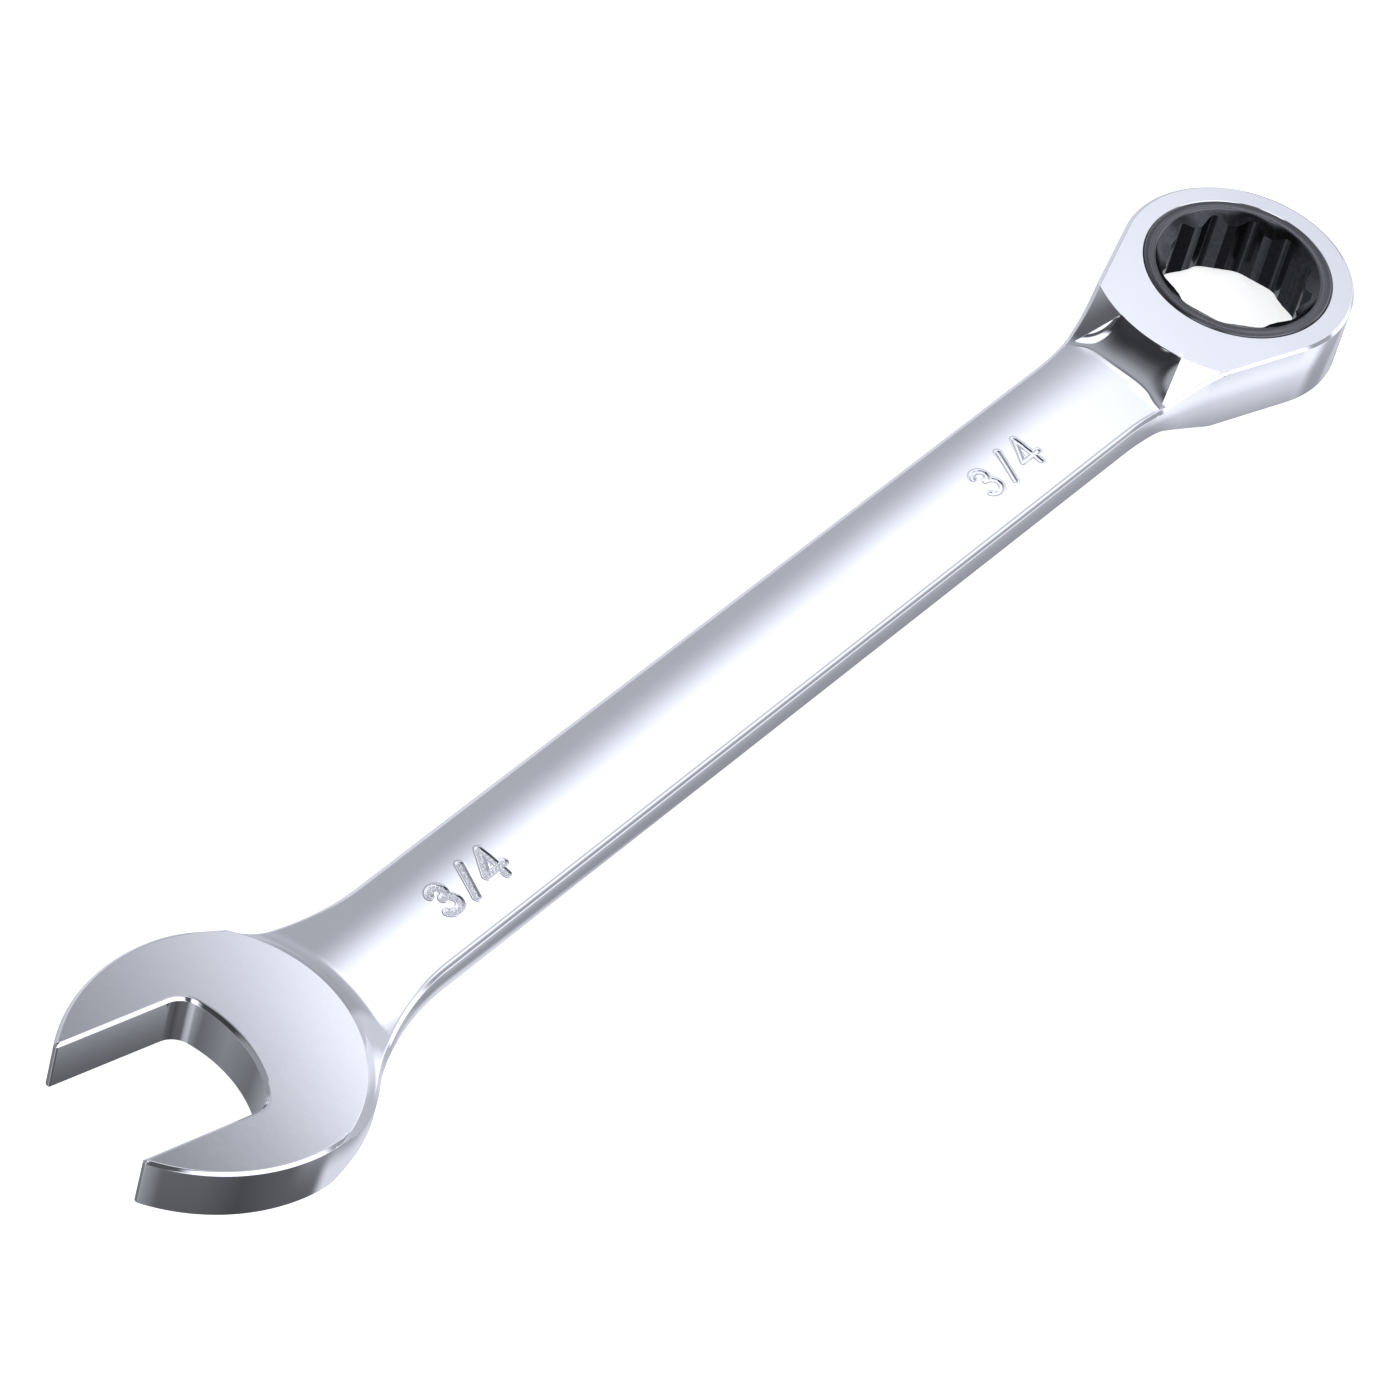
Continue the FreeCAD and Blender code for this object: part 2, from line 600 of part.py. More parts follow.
# tangent from the mouth corner to the corner rounding
dx, dy = mouth[0] - cc[0], mouth[1] - cc[1]
dist = hyp(dx, dy)
base_a = math.atan2(dy, dx)
ta = base_a - math.acos(rn / dist)
tp = (cc[0] + rn * math.cos(ta), cc[1] + rn * math.sin(ta))
g_a = arc(sk, cc, rn, -ta, ta)
g_1 = line(sk, tp, mouth)
g_2 = line(sk, mouth, (inner, mouth[1]))
g_3 = line(sk, (inner, mouth[1]), (inner, -mouth[1]))
g_4 = line(sk, (inner, -mouth[1]), (mouth[0], -mouth[1]))
g_5 = line(sk, (mouth[0], -mouth[1]), (tp[0], -tp[1]))
for a, pa, b, pb in ((g_a, 2, g_1, 1), (g_1, 2, g_2, 1), (g_2, 2, g_3, 1), (g_3, 2, g_4, 1),
                     (g_4, 2, g_5, 1), (g_5, 2, g_a, 1)):
    tie(sk, a, pa, b, pb)
sk.addConstraint(Sketcher.Constraint("PointOnObject", g_a, 3, -1))
i = sk.addConstraint(Sketcher.Constraint("DistanceX", -1, 1, g_a, 3, rk - rn))
bind(sk, i, "corner_centre", S("socket_corner") + " - 1.15")
i = sk.addConstraint(Sketcher.Constraint("Radius", g_a, rn))
sk.renameConstraint(i, "corner_rounding")
notch = gear.newObject("PartDesign::Pocket", "corner_pocket")
notch.Profile = sk
notch.Type = 1
notch.Midplane = True
gvol = removed(gear, notch, gvol, 5.0)
pat = gear.newObject("PartDesign::PolarPattern", "twelve_corners")
pat.Originals = [notch]
pat.Axis = (sk, ["N_Axis"])
pat.Angle = 360
pat.Occurrences = 12
gear.Tip = pat
gvol = removed(gear, pat, gvol, 50.0)
print("gear after corners", round(gvol, 1), len(gear.Shape.Solids))

# Lead-in cones at both faces.
lr, ld = D["socket_lead_radius"], D["socket_lead_depth"]
sk = new_sketch(gear, "lead_in_section", "XZ_Plane")
depth = ld
for sgn in (1, -1):
    p0 = (8.0, sgn * half_g)
    p1 = (lr, sgn * half_g)
    p2 = (9.5, sgn * (half_g - depth))
    p3 = (8.0, sgn * (half_g - depth))
    ids = polygon(sk, [p0, p1, p2, p3])
    sk.addConstraint(Sketcher.Constraint("Horizontal", ids[0]))
    sk.addConstraint(Sketcher.Constraint("Horizontal", ids[2]))
    sk.addConstraint(Sketcher.Constraint("Vertical", ids[3]))
    nm = "top" if sgn > 0 else "bottom"
    at(sk, ids[0], 2, nm + "_rim", S("socket_lead_radius"),
       ("" if sgn > 0 else "-") + S("gear_height") + " / 2", lr, sgn * half_g)
    at(sk, ids[2], 1, nm + "_foot", "9.5",
       ("" if sgn > 0 else "-") + "(" + S("gear_height") + " / 2 - " + S("socket_lead_depth") + ")",
       9.5, sgn * (half_g - depth))
    i = sk.addConstraint(Sketcher.Constraint("DistanceX", -1, 1, ids[0], 1, 8.0))
lead = gear.newObject("PartDesign::Groove", "lead_in_cones")
lead.Profile = sk
lead.ReferenceAxis = (sk, ["V_Axis"])
lead.Angle = 360
gvol = removed(gear, lead, gvol, 20.0)

# Snap ring groove in the gear.
sk = new_sketch(gear, "gear_groove_section", "XZ_Plane")
rectangle(sk, D["snap_groove_inner"], -sz - sw / 2, D["journal_radius"] + 0.5, -sz + sw / 2,
          "groove", S("snap_groove_inner"),
          "-" + S("snap_z") + " - " + S("snap_groove_width") + " / 2",
          S("journal_radius") + " + 0.5",
          "-" + S("snap_z") + " + " + S("snap_groove_width") + " / 2")
gg = gear.newObject("PartDesign::Groove", "gear_groove")
gg.Profile = sk
gg.ReferenceAxis = (sk, ["V_Axis"])
gg.Angle = 360
gvol = removed(gear, gg, gvol, 10.0)

# Ratchet teeth: one V gap in the belt, cut 72 times.
n_t = int(D["tooth_count"])
r_tip = D["journal_radius"]
r_root = r_tip - D["tooth_height"]
half_root = 0.06
gap_slope = 0.55


def gap_half(r):
    """Half width of a gap between gear teeth at radius r."""
    return half_root + (r - r_root) * gap_slope


sk = new_sketch(gear, "tooth_gap")
out = r_tip + 0.3
pts = [(-r_root, half_root), (-out, gap_half(out)), (-out, -gap_half(out)), (-r_root, -half_root)]
ids = polygon(sk, pts)
at(sk, ids[0], 1, "root_top", "-(" + S("journal_radius") + " - " + S("tooth_height") + ")", "0.06",
   -r_root, half_root)
at(sk, ids[3], 1, "root_bottom", "-(" + S("journal_radius") + " - " + S("tooth_height") + ")",
   "-0.06", -r_root, -half_root)
gap = gear.newObject("PartDesign::Pocket", "tooth_gap_pocket")
gap.Profile = sk
gap.Type = 0
gap.Midplane = True
gap.setExpression("Length", S("tooth_belt"))
gvol = removed(gear, gap, gvol, 1.0)
tp_ = gear.newObject("PartDesign::PolarPattern", "ratchet_teeth")
tp_.Originals = [gap]
tp_.Axis = (sk, ["N_Axis"])
tp_.Angle = 360
tp_.setExpression("Occurrences", S("tooth_count"))
gear.Tip = tp_
gvol = removed(gear, tp_, gvol, 50.0)
print("gear", round(gvol, 1), len(gear.Shape.Solids))

# ====================================================================== pawl
pawl = doc.addObject("PartDesign::Body", "pawl")
pawl.Label = "pawl"
pr = D["pawl_tip"]
pw = D["pawl_width"] / 2.0
pb = D["pawl_back"]
sk = new_sketch(pawl, "pawl_outline")
a_w = math.asin(pw / pr)
front = arc(sk, (0, 0), pr, math.pi - a_w, math.pi + a_w)
cf = 0.6
l1 = line(sk, (-pr * math.cos(a_w), -pw), (-pb + cf, -pw))
l2 = line(sk, (-pb + cf, -pw), (-pb, -pw + cf))
l3 = line(sk, (-pb, -pw + cf), (-pb, pw - cf))
l4 = line(sk, (-pb, pw - cf), (-pb + cf, pw))
l5 = line(sk, (-pb + cf, pw), (-pr * math.cos(a_w), pw))
for a, pa, b, pb_ in ((front, 2, l1, 1), (l1, 2, l2, 1), (l2, 2, l3, 1), (l3, 2, l4, 1),
                      (l4, 2, l5, 1), (l5, 2, front, 1)):
    tie(sk, a, pa, b, pb_)
centre_on_origin(sk, front)
radius(sk, front, "tip_radius", S("pawl_tip"))
sk.addConstraint(Sketcher.Constraint("Horizontal", l1))
sk.addConstraint(Sketcher.Constraint("Vertical", l3))
sk.addConstraint(Sketcher.Constraint("Horizontal", l5))
at(sk, l3, 1, "back_low", "-" + S("pawl_back"), "-" + S("pawl_width") + " / 2 + 0.6",
   -pb, -pw + cf)
at(sk, l4, 2, "back_high", "-" + S("pawl_back") + " + 0.6", S("pawl_width") + " / 2",
   -pb + cf, pw)
at(sk, l1, 2, "side_low", "-" + S("pawl_back") + " + 0.6", "-" + S("pawl_width") + " / 2",
   -pb + cf, -pw)
i = sk.addConstraint(Sketcher.Constraint("DistanceY", -1, 1, l3, 2, pw - cf))
bind(sk, i, "back_top", S("pawl_width") + " / 2 - 0.6")
blk = pawl.newObject("PartDesign::Pad", "pawl_block")
blk.Profile = sk
blk.Midplane = True
blk.setExpression("Length", S("pawl_height"))
pvol = solid_of(pawl).Volume

# Gaps between the pawl teeth take the gear teeth with a little room.
play = 0.045
g_root = r_tip + 0.10
step = 2 * math.pi / n_t


def pawl_gap_half(r):
    tooth = gap_half(r) - play               # half width of a pawl tooth
    return r * math.sin(step / 2) - tooth


sk = new_sketch(pawl, "pawl_gap")
r_in = pr - 0.35
pts = []
# the gap sits half a pitch from a pawl tooth
c5, s5 = math.cos(step / 2), math.sin(step / 2)


def turn(p, a):
    return (p[0] * math.cos(a) - p[1] * math.sin(a), p[0] * math.sin(a) + p[1] * math.cos(a))


first = -4.5 * step
raw = [(-g_root, pawl_gap_half(g_root)), (-g_root, -pawl_gap_half(g_root)),
       (-r_in, -pawl_gap_half(r_in)), (-r_in, pawl_gap_half(r_in))]
polygon(sk, [turn(p, first) for p in raw])
pg = pawl.newObject("PartDesign::Pocket", "pawl_gap_pocket")
pg.Profile = sk
pg.Type = 1
pg.Midplane = True
pvol = removed(pawl, pg, pvol, 0.05)
pp = pawl.newObject("PartDesign::PolarPattern", "pawl_teeth")
pp.Originals = [pg]
pp.Axis = (sk, ["N_Axis"])
pp.Angle = math.degrees(9 * step)
pp.Occurrences = 10
pawl.Tip = pp
pvol = removed(pawl, pp, pvol, 2.0)

sk = new_sketch(pawl, "pawl_well_outline", "YZ_Plane")
c = circle(sk, (0, 0), D["spring_well_radius"])
centre_on_origin(sk, c)
radius(sk, c, "well_radius", S("spring_well_radius"))
sk.setExpression("AttachmentOffset.Base.z", "-" + S("pawl_back") + " - 0.5")
pwl = pawl.newObject("PartDesign::Pocket", "pawl_well")
pwl.Profile = sk
pwl.Type = 0
pwl.setExpression("Length", S("pawl_back") + " - " + S("spring_front") + " + 0.5")
doc.recompute()
if pvol - pawl.Shape.Volume < 3.0:
    pwl.Reversed = True
pvol = removed(pawl, pwl, pvol, 3.0)
print("pawl", round(pvol, 2), len(pawl.Shape.Solids), pawl.Shape.BoundBox)

# =============================================================== pawl_spring
spring = doc.addObject("PartDesign::Body", "pawl_spring")
spring.Label = "pawl_spring"
sf = D["spring_front"] + 0.05
wr = D["spring_wire"] / 2.0
sk = new_sketch(spring, "wire_section")
c = circle(sk, (D["spring_radius"], 0), wr)
radius(sk, c, "wire", S("spring_wire") + " / 2")
i = sk.addConstraint(Sketcher.Constraint("DistanceX", -1, 1, c, 3, D["spring_radius"]))
bind(sk, i, "coil", S("spring_radius"))
sk.addConstraint(Sketcher.Constraint("PointOnObject", c, 3, -1))
helix = spring.newObject("PartDesign::AdditiveHelix", "coil")
helix.Profile = sk
helix.ReferenceAxis = (sk, ["V_Axis"])
helix.Mode = 0
helix.setExpression("Pitch", S("spring_pitch"))
helix.setExpression("Height", S("spring_back") + " - " + S("spring_front") + " - 0.1 - " + S("spring_wire"))
# the coil is wound along its sketch's Y axis; the body turns it to lie along -X
spring.Placement = FreeCAD.Placement(V(-(sf + wr), 0, 0), FreeCAD.Rotation(V(0, 0, 1), 90))
solid_of(spring)
print("spring", round(spring.Shape.Volume, 3), spring.Shape.BoundBox, len(spring.Shape.Solids))

# ============================================================ retaining_ring
ring = doc.addObject("PartDesign::Body", "retaining_ring")
ring.Label = "retaining_ring"
sk = new_sketch(ring, "ring_section", "XZ_Plane")
st = D["snap_thickness"] / 2.0
rectangle(sk, D["snap_inner"], -sz - st, D["snap_outer"], -sz + st, "ring",
          S("snap_inner"), "-" + S("snap_z") + " - " + S("snap_thickness") + " / 2",
          S("snap_outer"), "-" + S("snap_z") + " + " + S("snap_thickness") + " / 2")
rr_ = ring.newObject("PartDesign::Revolution", "ring_sweep")
rr_.Profile = sk
rr_.ReferenceAxis = (sk, ["V_Axis"])
rr_.setExpression("Angle", "360 - " + S("snap_gap"))
solid_of(ring)
print("ring", ring.Shape.Volume, ring.Shape.BoundBox)

# ------------------------------------------------------------- check and write
doc.recompute()
for o in doc.Objects:
    if any(k in ("Invalid", "Error") for k in o.State):
        raise RuntimeError("%s: %s %s" % (o.Name, o.State, o.getStatusString()))
PIECES = [body, gear, pawl, spring, ring]
os.makedirs("parts", exist_ok=True)
for b in PIECES:
    s_ = b.Shape
    if s_.isNull() or not s_.isValid() or len(s_.Solids) < 1:
        raise RuntimeError("bad shape: " + b.Label)
    s_.exportStep("parts/%s.step" % b.Label)
    print("wrote", b.Label, len(s_.Solids), "solid(s)", round(s_.Volume, 2), "mm3")
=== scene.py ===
import bpy
import math
import numpy as np
from mathutils import Matrix, Vector
from mathutils.geometry import delaunay_2d_cdt


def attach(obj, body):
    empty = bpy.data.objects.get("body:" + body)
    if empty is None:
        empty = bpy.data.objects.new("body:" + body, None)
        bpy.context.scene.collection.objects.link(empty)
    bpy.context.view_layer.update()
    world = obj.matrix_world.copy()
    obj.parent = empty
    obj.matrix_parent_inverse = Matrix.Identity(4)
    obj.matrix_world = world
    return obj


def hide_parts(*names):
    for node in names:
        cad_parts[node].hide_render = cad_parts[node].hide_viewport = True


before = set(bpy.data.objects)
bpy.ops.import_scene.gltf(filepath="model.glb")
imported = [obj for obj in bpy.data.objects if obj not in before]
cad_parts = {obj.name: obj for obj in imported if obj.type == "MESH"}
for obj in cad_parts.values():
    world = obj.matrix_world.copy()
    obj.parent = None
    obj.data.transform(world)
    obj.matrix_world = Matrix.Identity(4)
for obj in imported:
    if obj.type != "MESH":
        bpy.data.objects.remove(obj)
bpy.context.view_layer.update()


MM = 0.001
pi = math.pi
rad = math.radians

# ------------------------------------------------------------------ the camera
# Long lens, 41 degrees above the floor, looking down the shank from the open
# end, rolled so that the shank climbs to the right.
CAM_ROT = ((0.621011288, -0.759236164, 0.194693163),
           (-0.480718906, -0.565131876, -0.670473934),
           (0.61907537, 0.322779197, -0.715932452))
CAM_POS = (-0.7113356, -0.3089837, 0.6868393)
cam_data = bpy.data.cameras.new("camera")
cam_data.sensor_width = 36.0
cam_data.lens = 190.919
cam_data.clip_start = 0.05
cam_data.clip_end = 50.0
cam = bpy.data.objects.new("camera", cam_data)
bpy.context.scene.collection.objects.link(cam)
cx, cy, cz = (Vector(r) for r in CAM_ROT)
m = Matrix((( cx[0], -cy[0], -cz[0], CAM_POS[0]),
            ( cx[1], -cy[1], -cz[1], CAM_POS[1]),
            ( cx[2], -cy[2], -cz[2], CAM_POS[2]),
            (0, 0, 0, 1)))
cam.matrix_world = m
bpy.context.scene.camera = cam

# ------------------------------------------------- sizes, the same as in the CAD
R1 = 16.7                 # ratchet housing
HALF_H = 5.4
BETA = rad(19.2)
RN = 45.0
FACE_R = 21.2
SCOOP_R = 9.0
SCOOP_FLOOR = 2.36
HW = 8.25                 # half shank width
HALF_T = 2.75
CROWN = 80.0
GAP = 9.6                 # half jaw gap
PHI = -rad(15.0)
ROOT = 208.8
HALF_O = 4.1
REACH = 20.7
RH = 18.9
HB = 1.8
RT = 25.0
RF = 18.6
TD = -0.15
TC = 3.2
N_FAR = 35.0
N_NEAR = 36.0
OX, OY = -214.6, 2.3
OFACE_R = 21.0
OSCOOP_R = 5.5
OSCOOP_FLOOR = 2.22
BORE = 13.42
TIP_ROUND = 0.3
AX = (math.cos(PHI), math.sin(PHI))
AY = (-math.sin(PHI), math.cos(PHI))


def jaw(u, w):
    return (-ROOT + u * AX[0] + w * AY[0], u * AX[1] + w * AY[1])


# ------------------------------------------------------------ the plan outline
class Path:
    """A closed, tangent-continuous outline, walked with the metal on the left."""

    def __init__(self):
        self.p, self.n = [], []

    def line(self, a, b, step):
        d = math.hypot(b[0] - a[0], b[1] - a[1])
        k = max(1, int(round(d / step)))
        t = ((b[0] - a[0]) / d, (b[1] - a[1]) / d)
        for i in range(k):
            f = i / k
            self.p.append((a[0] + (b[0] - a[0]) * f, a[1] + (b[1] - a[1]) * f))
            self.n.append((-t[1], t[0]))

    def arc(self, c, r, a0, a1, step):
        k = max(3, int(round(abs(a1 - a0) * r / step)))
        s = 1.0 if a1 > a0 else -1.0
        for i in range(k):
            a = a0 + (a1 - a0) * i / k
            self.p.append((c[0] + r * math.cos(a), c[1] + r * math.sin(a)))
            self.n.append((-s * math.cos(a), -s * math.sin(a)))


def ang(c, p):
    return math.atan2(p[1] - c[1], p[0] - c[0])


def outline():
    q = Path()
    t_top = (-R1 * math.sin(BETA), R1 * math.cos(BETA))
    x_cross = t_top[0] - (t_top[1] - HW) / math.tan(BETA)
    tl = RN * math.tan(BETA / 2)
    b0 = (x_cross + tl * math.cos(BETA), HW + tl * math.sin(BETA))
    b1 = (x_cross - tl, HW)
    C = jaw(-HB, 0)

    def neck(side, r):
        cy_ = side * (HW + r)
        cx_ = C[0] + math.sqrt((r + RH) ** 2 - (cy_ - C[1]) ** 2)
        k = RH / (r + RH)
        return (cx_, cy_), (C[0] + (cx_ - C[0]) * k, C[1] + (cy_ - C[1]) * k)

    fc, ft = neck(1, N_FAR)
    nc, nt = neck(-1, N_NEAR)
    a_t = pi / 2 + BETA
    S = 0.4
    q.arc((0, 0), R1, -a_t, a_t, S)
    q.line(t_top, b0, 0.5)
    cb = (b1[0], HW + RN)
    q.arc(cb, RN, ang(cb, b0), -pi / 2, 0.5)
    q.line(b1, (fc[0], HW), 1.0)
    q.arc(fc, N_FAR, -pi / 2, ang(fc, ft) - (2 * pi if ang(fc, ft) > 0 else 0), 0.5)
    q.arc(C, RH, ang(C, ft), PHI + pi / 2, S)
    # far jaw, in the jaw frame
    u0, w0 = -HB, RH - RT
    uf = -REACH + TIP_ROUND
    wf = w0 + math.sqrt((RT - TIP_ROUND) ** 2 - (uf - u0) ** 2)
    ta = math.atan2(wf - w0, uf - u0)
    q.arc(jaw(u0, w0), RT, PHI + pi / 2, PHI + ta, S)
    q.arc(jaw(uf, wf), TIP_ROUND, PHI + ta, PHI + pi, 0.1)
    q.line(jaw(-REACH, wf), jaw(-REACH, GAP + TIP_ROUND), 0.3)
    q.arc(jaw(uf, GAP + TIP_ROUND), TIP_ROUND, PHI + pi, PHI + 1.5 * pi, 0.1)
    fcu = -TD - RF
    cw = GAP - TC
    cu = fcu + math.sqrt((RF - TC) ** 2 - cw ** 2)
    g = math.atan2(cw, cu - fcu)
    q.line(jaw(uf, GAP), jaw(cu, GAP), 0.5)
    q.arc(jaw(cu, cw), TC, PHI + pi / 2, PHI + g, 0.25)
    q.arc(jaw(fcu, 0), RF, PHI + g, PHI - g, S)
    q.arc(jaw(cu, -cw), TC, PHI - g, PHI - pi / 2, 0.25)
    q.line(jaw(cu, -GAP), jaw(uf, -GAP), 0.5)
    q.arc(jaw(uf, -GAP - TIP_ROUND), TIP_ROUND, PHI + pi / 2, PHI + pi, 0.1)
    q.line(jaw(-REACH, -GAP - TIP_ROUND), jaw(-REACH, -wf), 0.3)
    q.arc(jaw(uf, -wf), TIP_ROUND, PHI + pi, PHI + 2 * pi - ta, 0.1)
    q.arc(jaw(u0, -w0), RT, PHI + 2 * pi - ta, PHI + 1.5 * pi, S)
    a_n = ang(C, nt)
    q.arc(C, RH, PHI + 1.5 * pi, a_n + 2 * pi if a_n < PHI + 1.5 * pi - 2 * pi + 1e-9 or a_n < 0 else a_n, S)
    a_nn = ang(nc, nt)
    q.arc(nc, N_NEAR, a_nn, pi / 2, 0.5)
    q.line((nc[0], -HW), (b1[0], -HW), 1.0)
    cb = (b1[0], -HW - RN)
    q.arc(cb, RN, pi / 2, ang(cb, (b0[0], -b0[1])), 0.5)
    q.line((b0[0], -b0[1]), (t_top[0], -t_top[1]), 0.5)
    return np.array(q.p), np.array(q.n)


# --------------------------------------------------------- height of the metal
def smax(a, b, k):
    h = np.clip(k - np.abs(a - b), 0, None) / k
    return np.maximum(a, b) + h * h * k * 0.25


def smin(a, b, k):
    return -smax(-a, -b, k)


def skirt(r, half, face_r, scoop_r, floor):
    """Flat out to face_r, then a concave curve down to floor."""
    rc = face_r + np.sqrt(scoop_r ** 2 - (scoop_r - (half - floor)) ** 2)
    d = np.clip(rc - r, 0.0, scoop_r * 0.999)
    z = floor + scoop_r - np.sqrt(scoop_r ** 2 - d * d)
    return z


def crease_angle(r):
    """Where the dished neck meets the flank facet, as an angle off the shank's line."""
    return rad(14.5) + rad(1.6) * np.clip((r - 21.2) / 8.0, 0, 1)


def height(x, y):
    shank = HALF_T - CROWN + np.sqrt(CROWN ** 2 - np.clip(y, -20, 20) ** 2)
    r = np.hypot(x, y)
    f = np.abs(np.arctan2(np.abs(y), -x))
    # dish in the middle of the neck, rising to a flatter facet on either flank
    dish = skirt(r, HALF_H, FACE_R, SCOOP_R, shank)
    facet = smax(HALF_H - 0.412 * np.clip(r - FACE_R, 0, 20), shank, 0.5)
    w = np.clip(f / crease_angle(r), 0, 1) ** np.where(y > 0, 7.0, 3.6)
    ring = dish + (facet - dish) * w
    ring = smin(ring, np.full_like(ring, HALF_H), 0.06)
    ro = np.hypot(x - OX, y - OY)
    head = skirt(ro, HALF_O, OFACE_R, OSCOOP_R, shank)
    head = smin(head, np.full_like(head, HALF_O), 0.08)
    far_r = np.where(x > -60, ring, -1.0)
    far_o = np.where(x < -150, head, -1.0)
    return np.maximum(np.maximum(shank, far_r), far_o)


# --------------------------------------------------------------- size numerals
def arc_points(cx_, cy_, rx, ry, a0, a1, k):
    return [(cx_ + rx * math.cos(a), cy_ + ry * math.sin(a)) for a in np.linspace(rad(a0), rad(a1), k)]


def numeral_segments(x0, y0, size):
    """Plain single-line strokes of 3/4, reading along +X, from (x0, y0)."""
    k = size / 5.1
    three = arc_points(1.50, 3.66, 1.10, 0.98, 160, -90, 14) + arc_points(1.50, 1.45, 1.38, 1.22, 90, -152, 16)
    slash = [(4.95, 0.1), (7.25, 4.95)]
    four = [(10.75, 0.05), (10.95, 4.95), (8.45, 1.5), (11.85, 1.5)]
    segs = []
    for pts in (three, slash, four):
        for a, b in zip(pts[:-1], pts[1:]):
            segs.append((x0 + a[0] * k, y0 + a[1] * k, x0 + b[0] * k, y0 + b[1] * k))
    return np.array(segs)


def seg_dist(px, py, segs):
    d = np.full(px.shape, 1e9)
    for ax_, ay_, bx, by in segs:
        vx, vy = bx - ax_, by - ay_
        q = vx * vx + vy * vy + 1e-12
        t = np.clip(((px - ax_) * vx + (py - ay_) * vy) / q, 0, 1)
        d = np.minimum(d, np.hypot(px - ax_ - t * vx, py - ay_ - t * vy))
    return d


#            segments, half stroke, depth
NUMERALS = [(numeral_segments(-60.2, -3.5, 5.1), 0.31, 0.12),
            (numeral_segments(-172.7, -3.25, 5.2), 0.42, 0.12)]
NUM_BOX = [(s[:, [0, 2]].min() - 1.3, s[:, [1, 3]].min() - 1.3,
            s[:, [0, 2]].max() + 1.3, s[:, [1, 3]].max() + 1.3) for s, _, _ in NUMERALS]


def engraved(x, y):
    """How far the struck numerals go down, with the small rim that the die throws up."""
    z = np.zeros(x.shape)
    for (s, half, depth), b in zip(NUMERALS, NUM_BOX):
        k = (x > b[0]) & (x < b[2]) & (y > b[1]) & (y < b[3])
        if not k.any():
            continue
        xx, yy = x[k], y[k]
        d = seg_dist(xx, yy, s)
        t = np.clip((d - half + 0.12) / 0.22, 0, 1)
        wall = 1 - t * t * (3 - 2 * t)
        rim = 0.010 * np.exp(-((d - half - 0.20) / 0.12) ** 2)
        grain = (0.010 if half > 0.4 else 0.002) * np.sin(xx * 19.0 + 3 * np.sin(yy * 7)) * np.sin(yy * 23.0 + 2 * np.sin(xx * 9))
        z[k] = (depth + grain) * wall - rim
    return z


# ------------------------------------------------------- distance to the walls
P_OUT, N_OUT = outline()
SEG = np.maximum(np.linalg.norm(np.roll(P_OUT, -1, 0) - P_OUT, axis=1),
                 np.linalg.norm(np.roll(P_OUT, 1, 0) - P_OUT, axis=1))


def dist_inside(px, py, need_nearest=False):
    """Distance to the outline, positive inside the metal."""
    out = np.empty(len(px))
    for a in range(0, len(px), 3000):
        dx = px[a:a + 3000, None] - P_OUT[None, :, 0]
        dy = py[a:a + 3000, None] - P_OUT[None, :, 1]
        d2 = dx * dx + dy * dy
        k = d2.argmin(1)
        i = np.arange(len(k))
        s = dx[i, k] * N_OUT[k, 0] + dy[i, k] * N_OUT[k, 1]
        t = d2[i, k] - s * s
        far = t > (0.7 * SEG[k]) ** 2
        out[a:a + 3000] = np.where(far, np.sqrt(d2[i, k]) * np.sign(s), s)
    return out


def edge_drop(x, d):
    """How far the metal falls away towards the wall at distance d from it."""
    w = np.clip((-27.0 - x) / 10.0, 0, 1) * np.clip((x + 187.0) / 9.0, 0, 1)
    w = w * w * (3 - 2 * w)
    # a crisp broken edge on the heads, with its two corners just eased
    cham = np.clip(0.43 - d, 0, None)
    cham = np.where(d < 0.43 + 0.05, smax(0.43 - d, np.zeros_like(d), 0.07), 0.0)
    cham = cham + 0.25 * np.clip(0.06 - d, 0, None)
    # a rounded edge on the shank
    e = np.clip(1 - d / 0.75, 0, 1)
    rnd = 0.62 * (1 - np.sqrt(np.clip(1 - e * e, 0, 1)))
    return cham * (1 - w) + rnd * w


def plan_height(x, y, marks):
    h = height(x, y)
    d = dist_inside(x, y)
    h = h - edge_drop(x, np.clip(d, 0, None))
    b = np.hypot(x, y) - BORE
    h = h - np.clip(0.15 - b, 0, 0.15)
    if marks:
        h = h - engraved(x, y)
    return h


def plan_normals(x, y, marks):
    e = 0.012
    f = lambda a, b: plan_height(a, b, marks)
    gx = (f(x + e, y) - f(x - e, y)) / (2 * e)
    gy = (f(x, y + e) - f(x, y - e)) / (2 * e)
    n = np.stack([-gx, -gy, np.ones_like(gx)], 1)
    return n / np.linalg.norm(n, axis=1)[:, None]


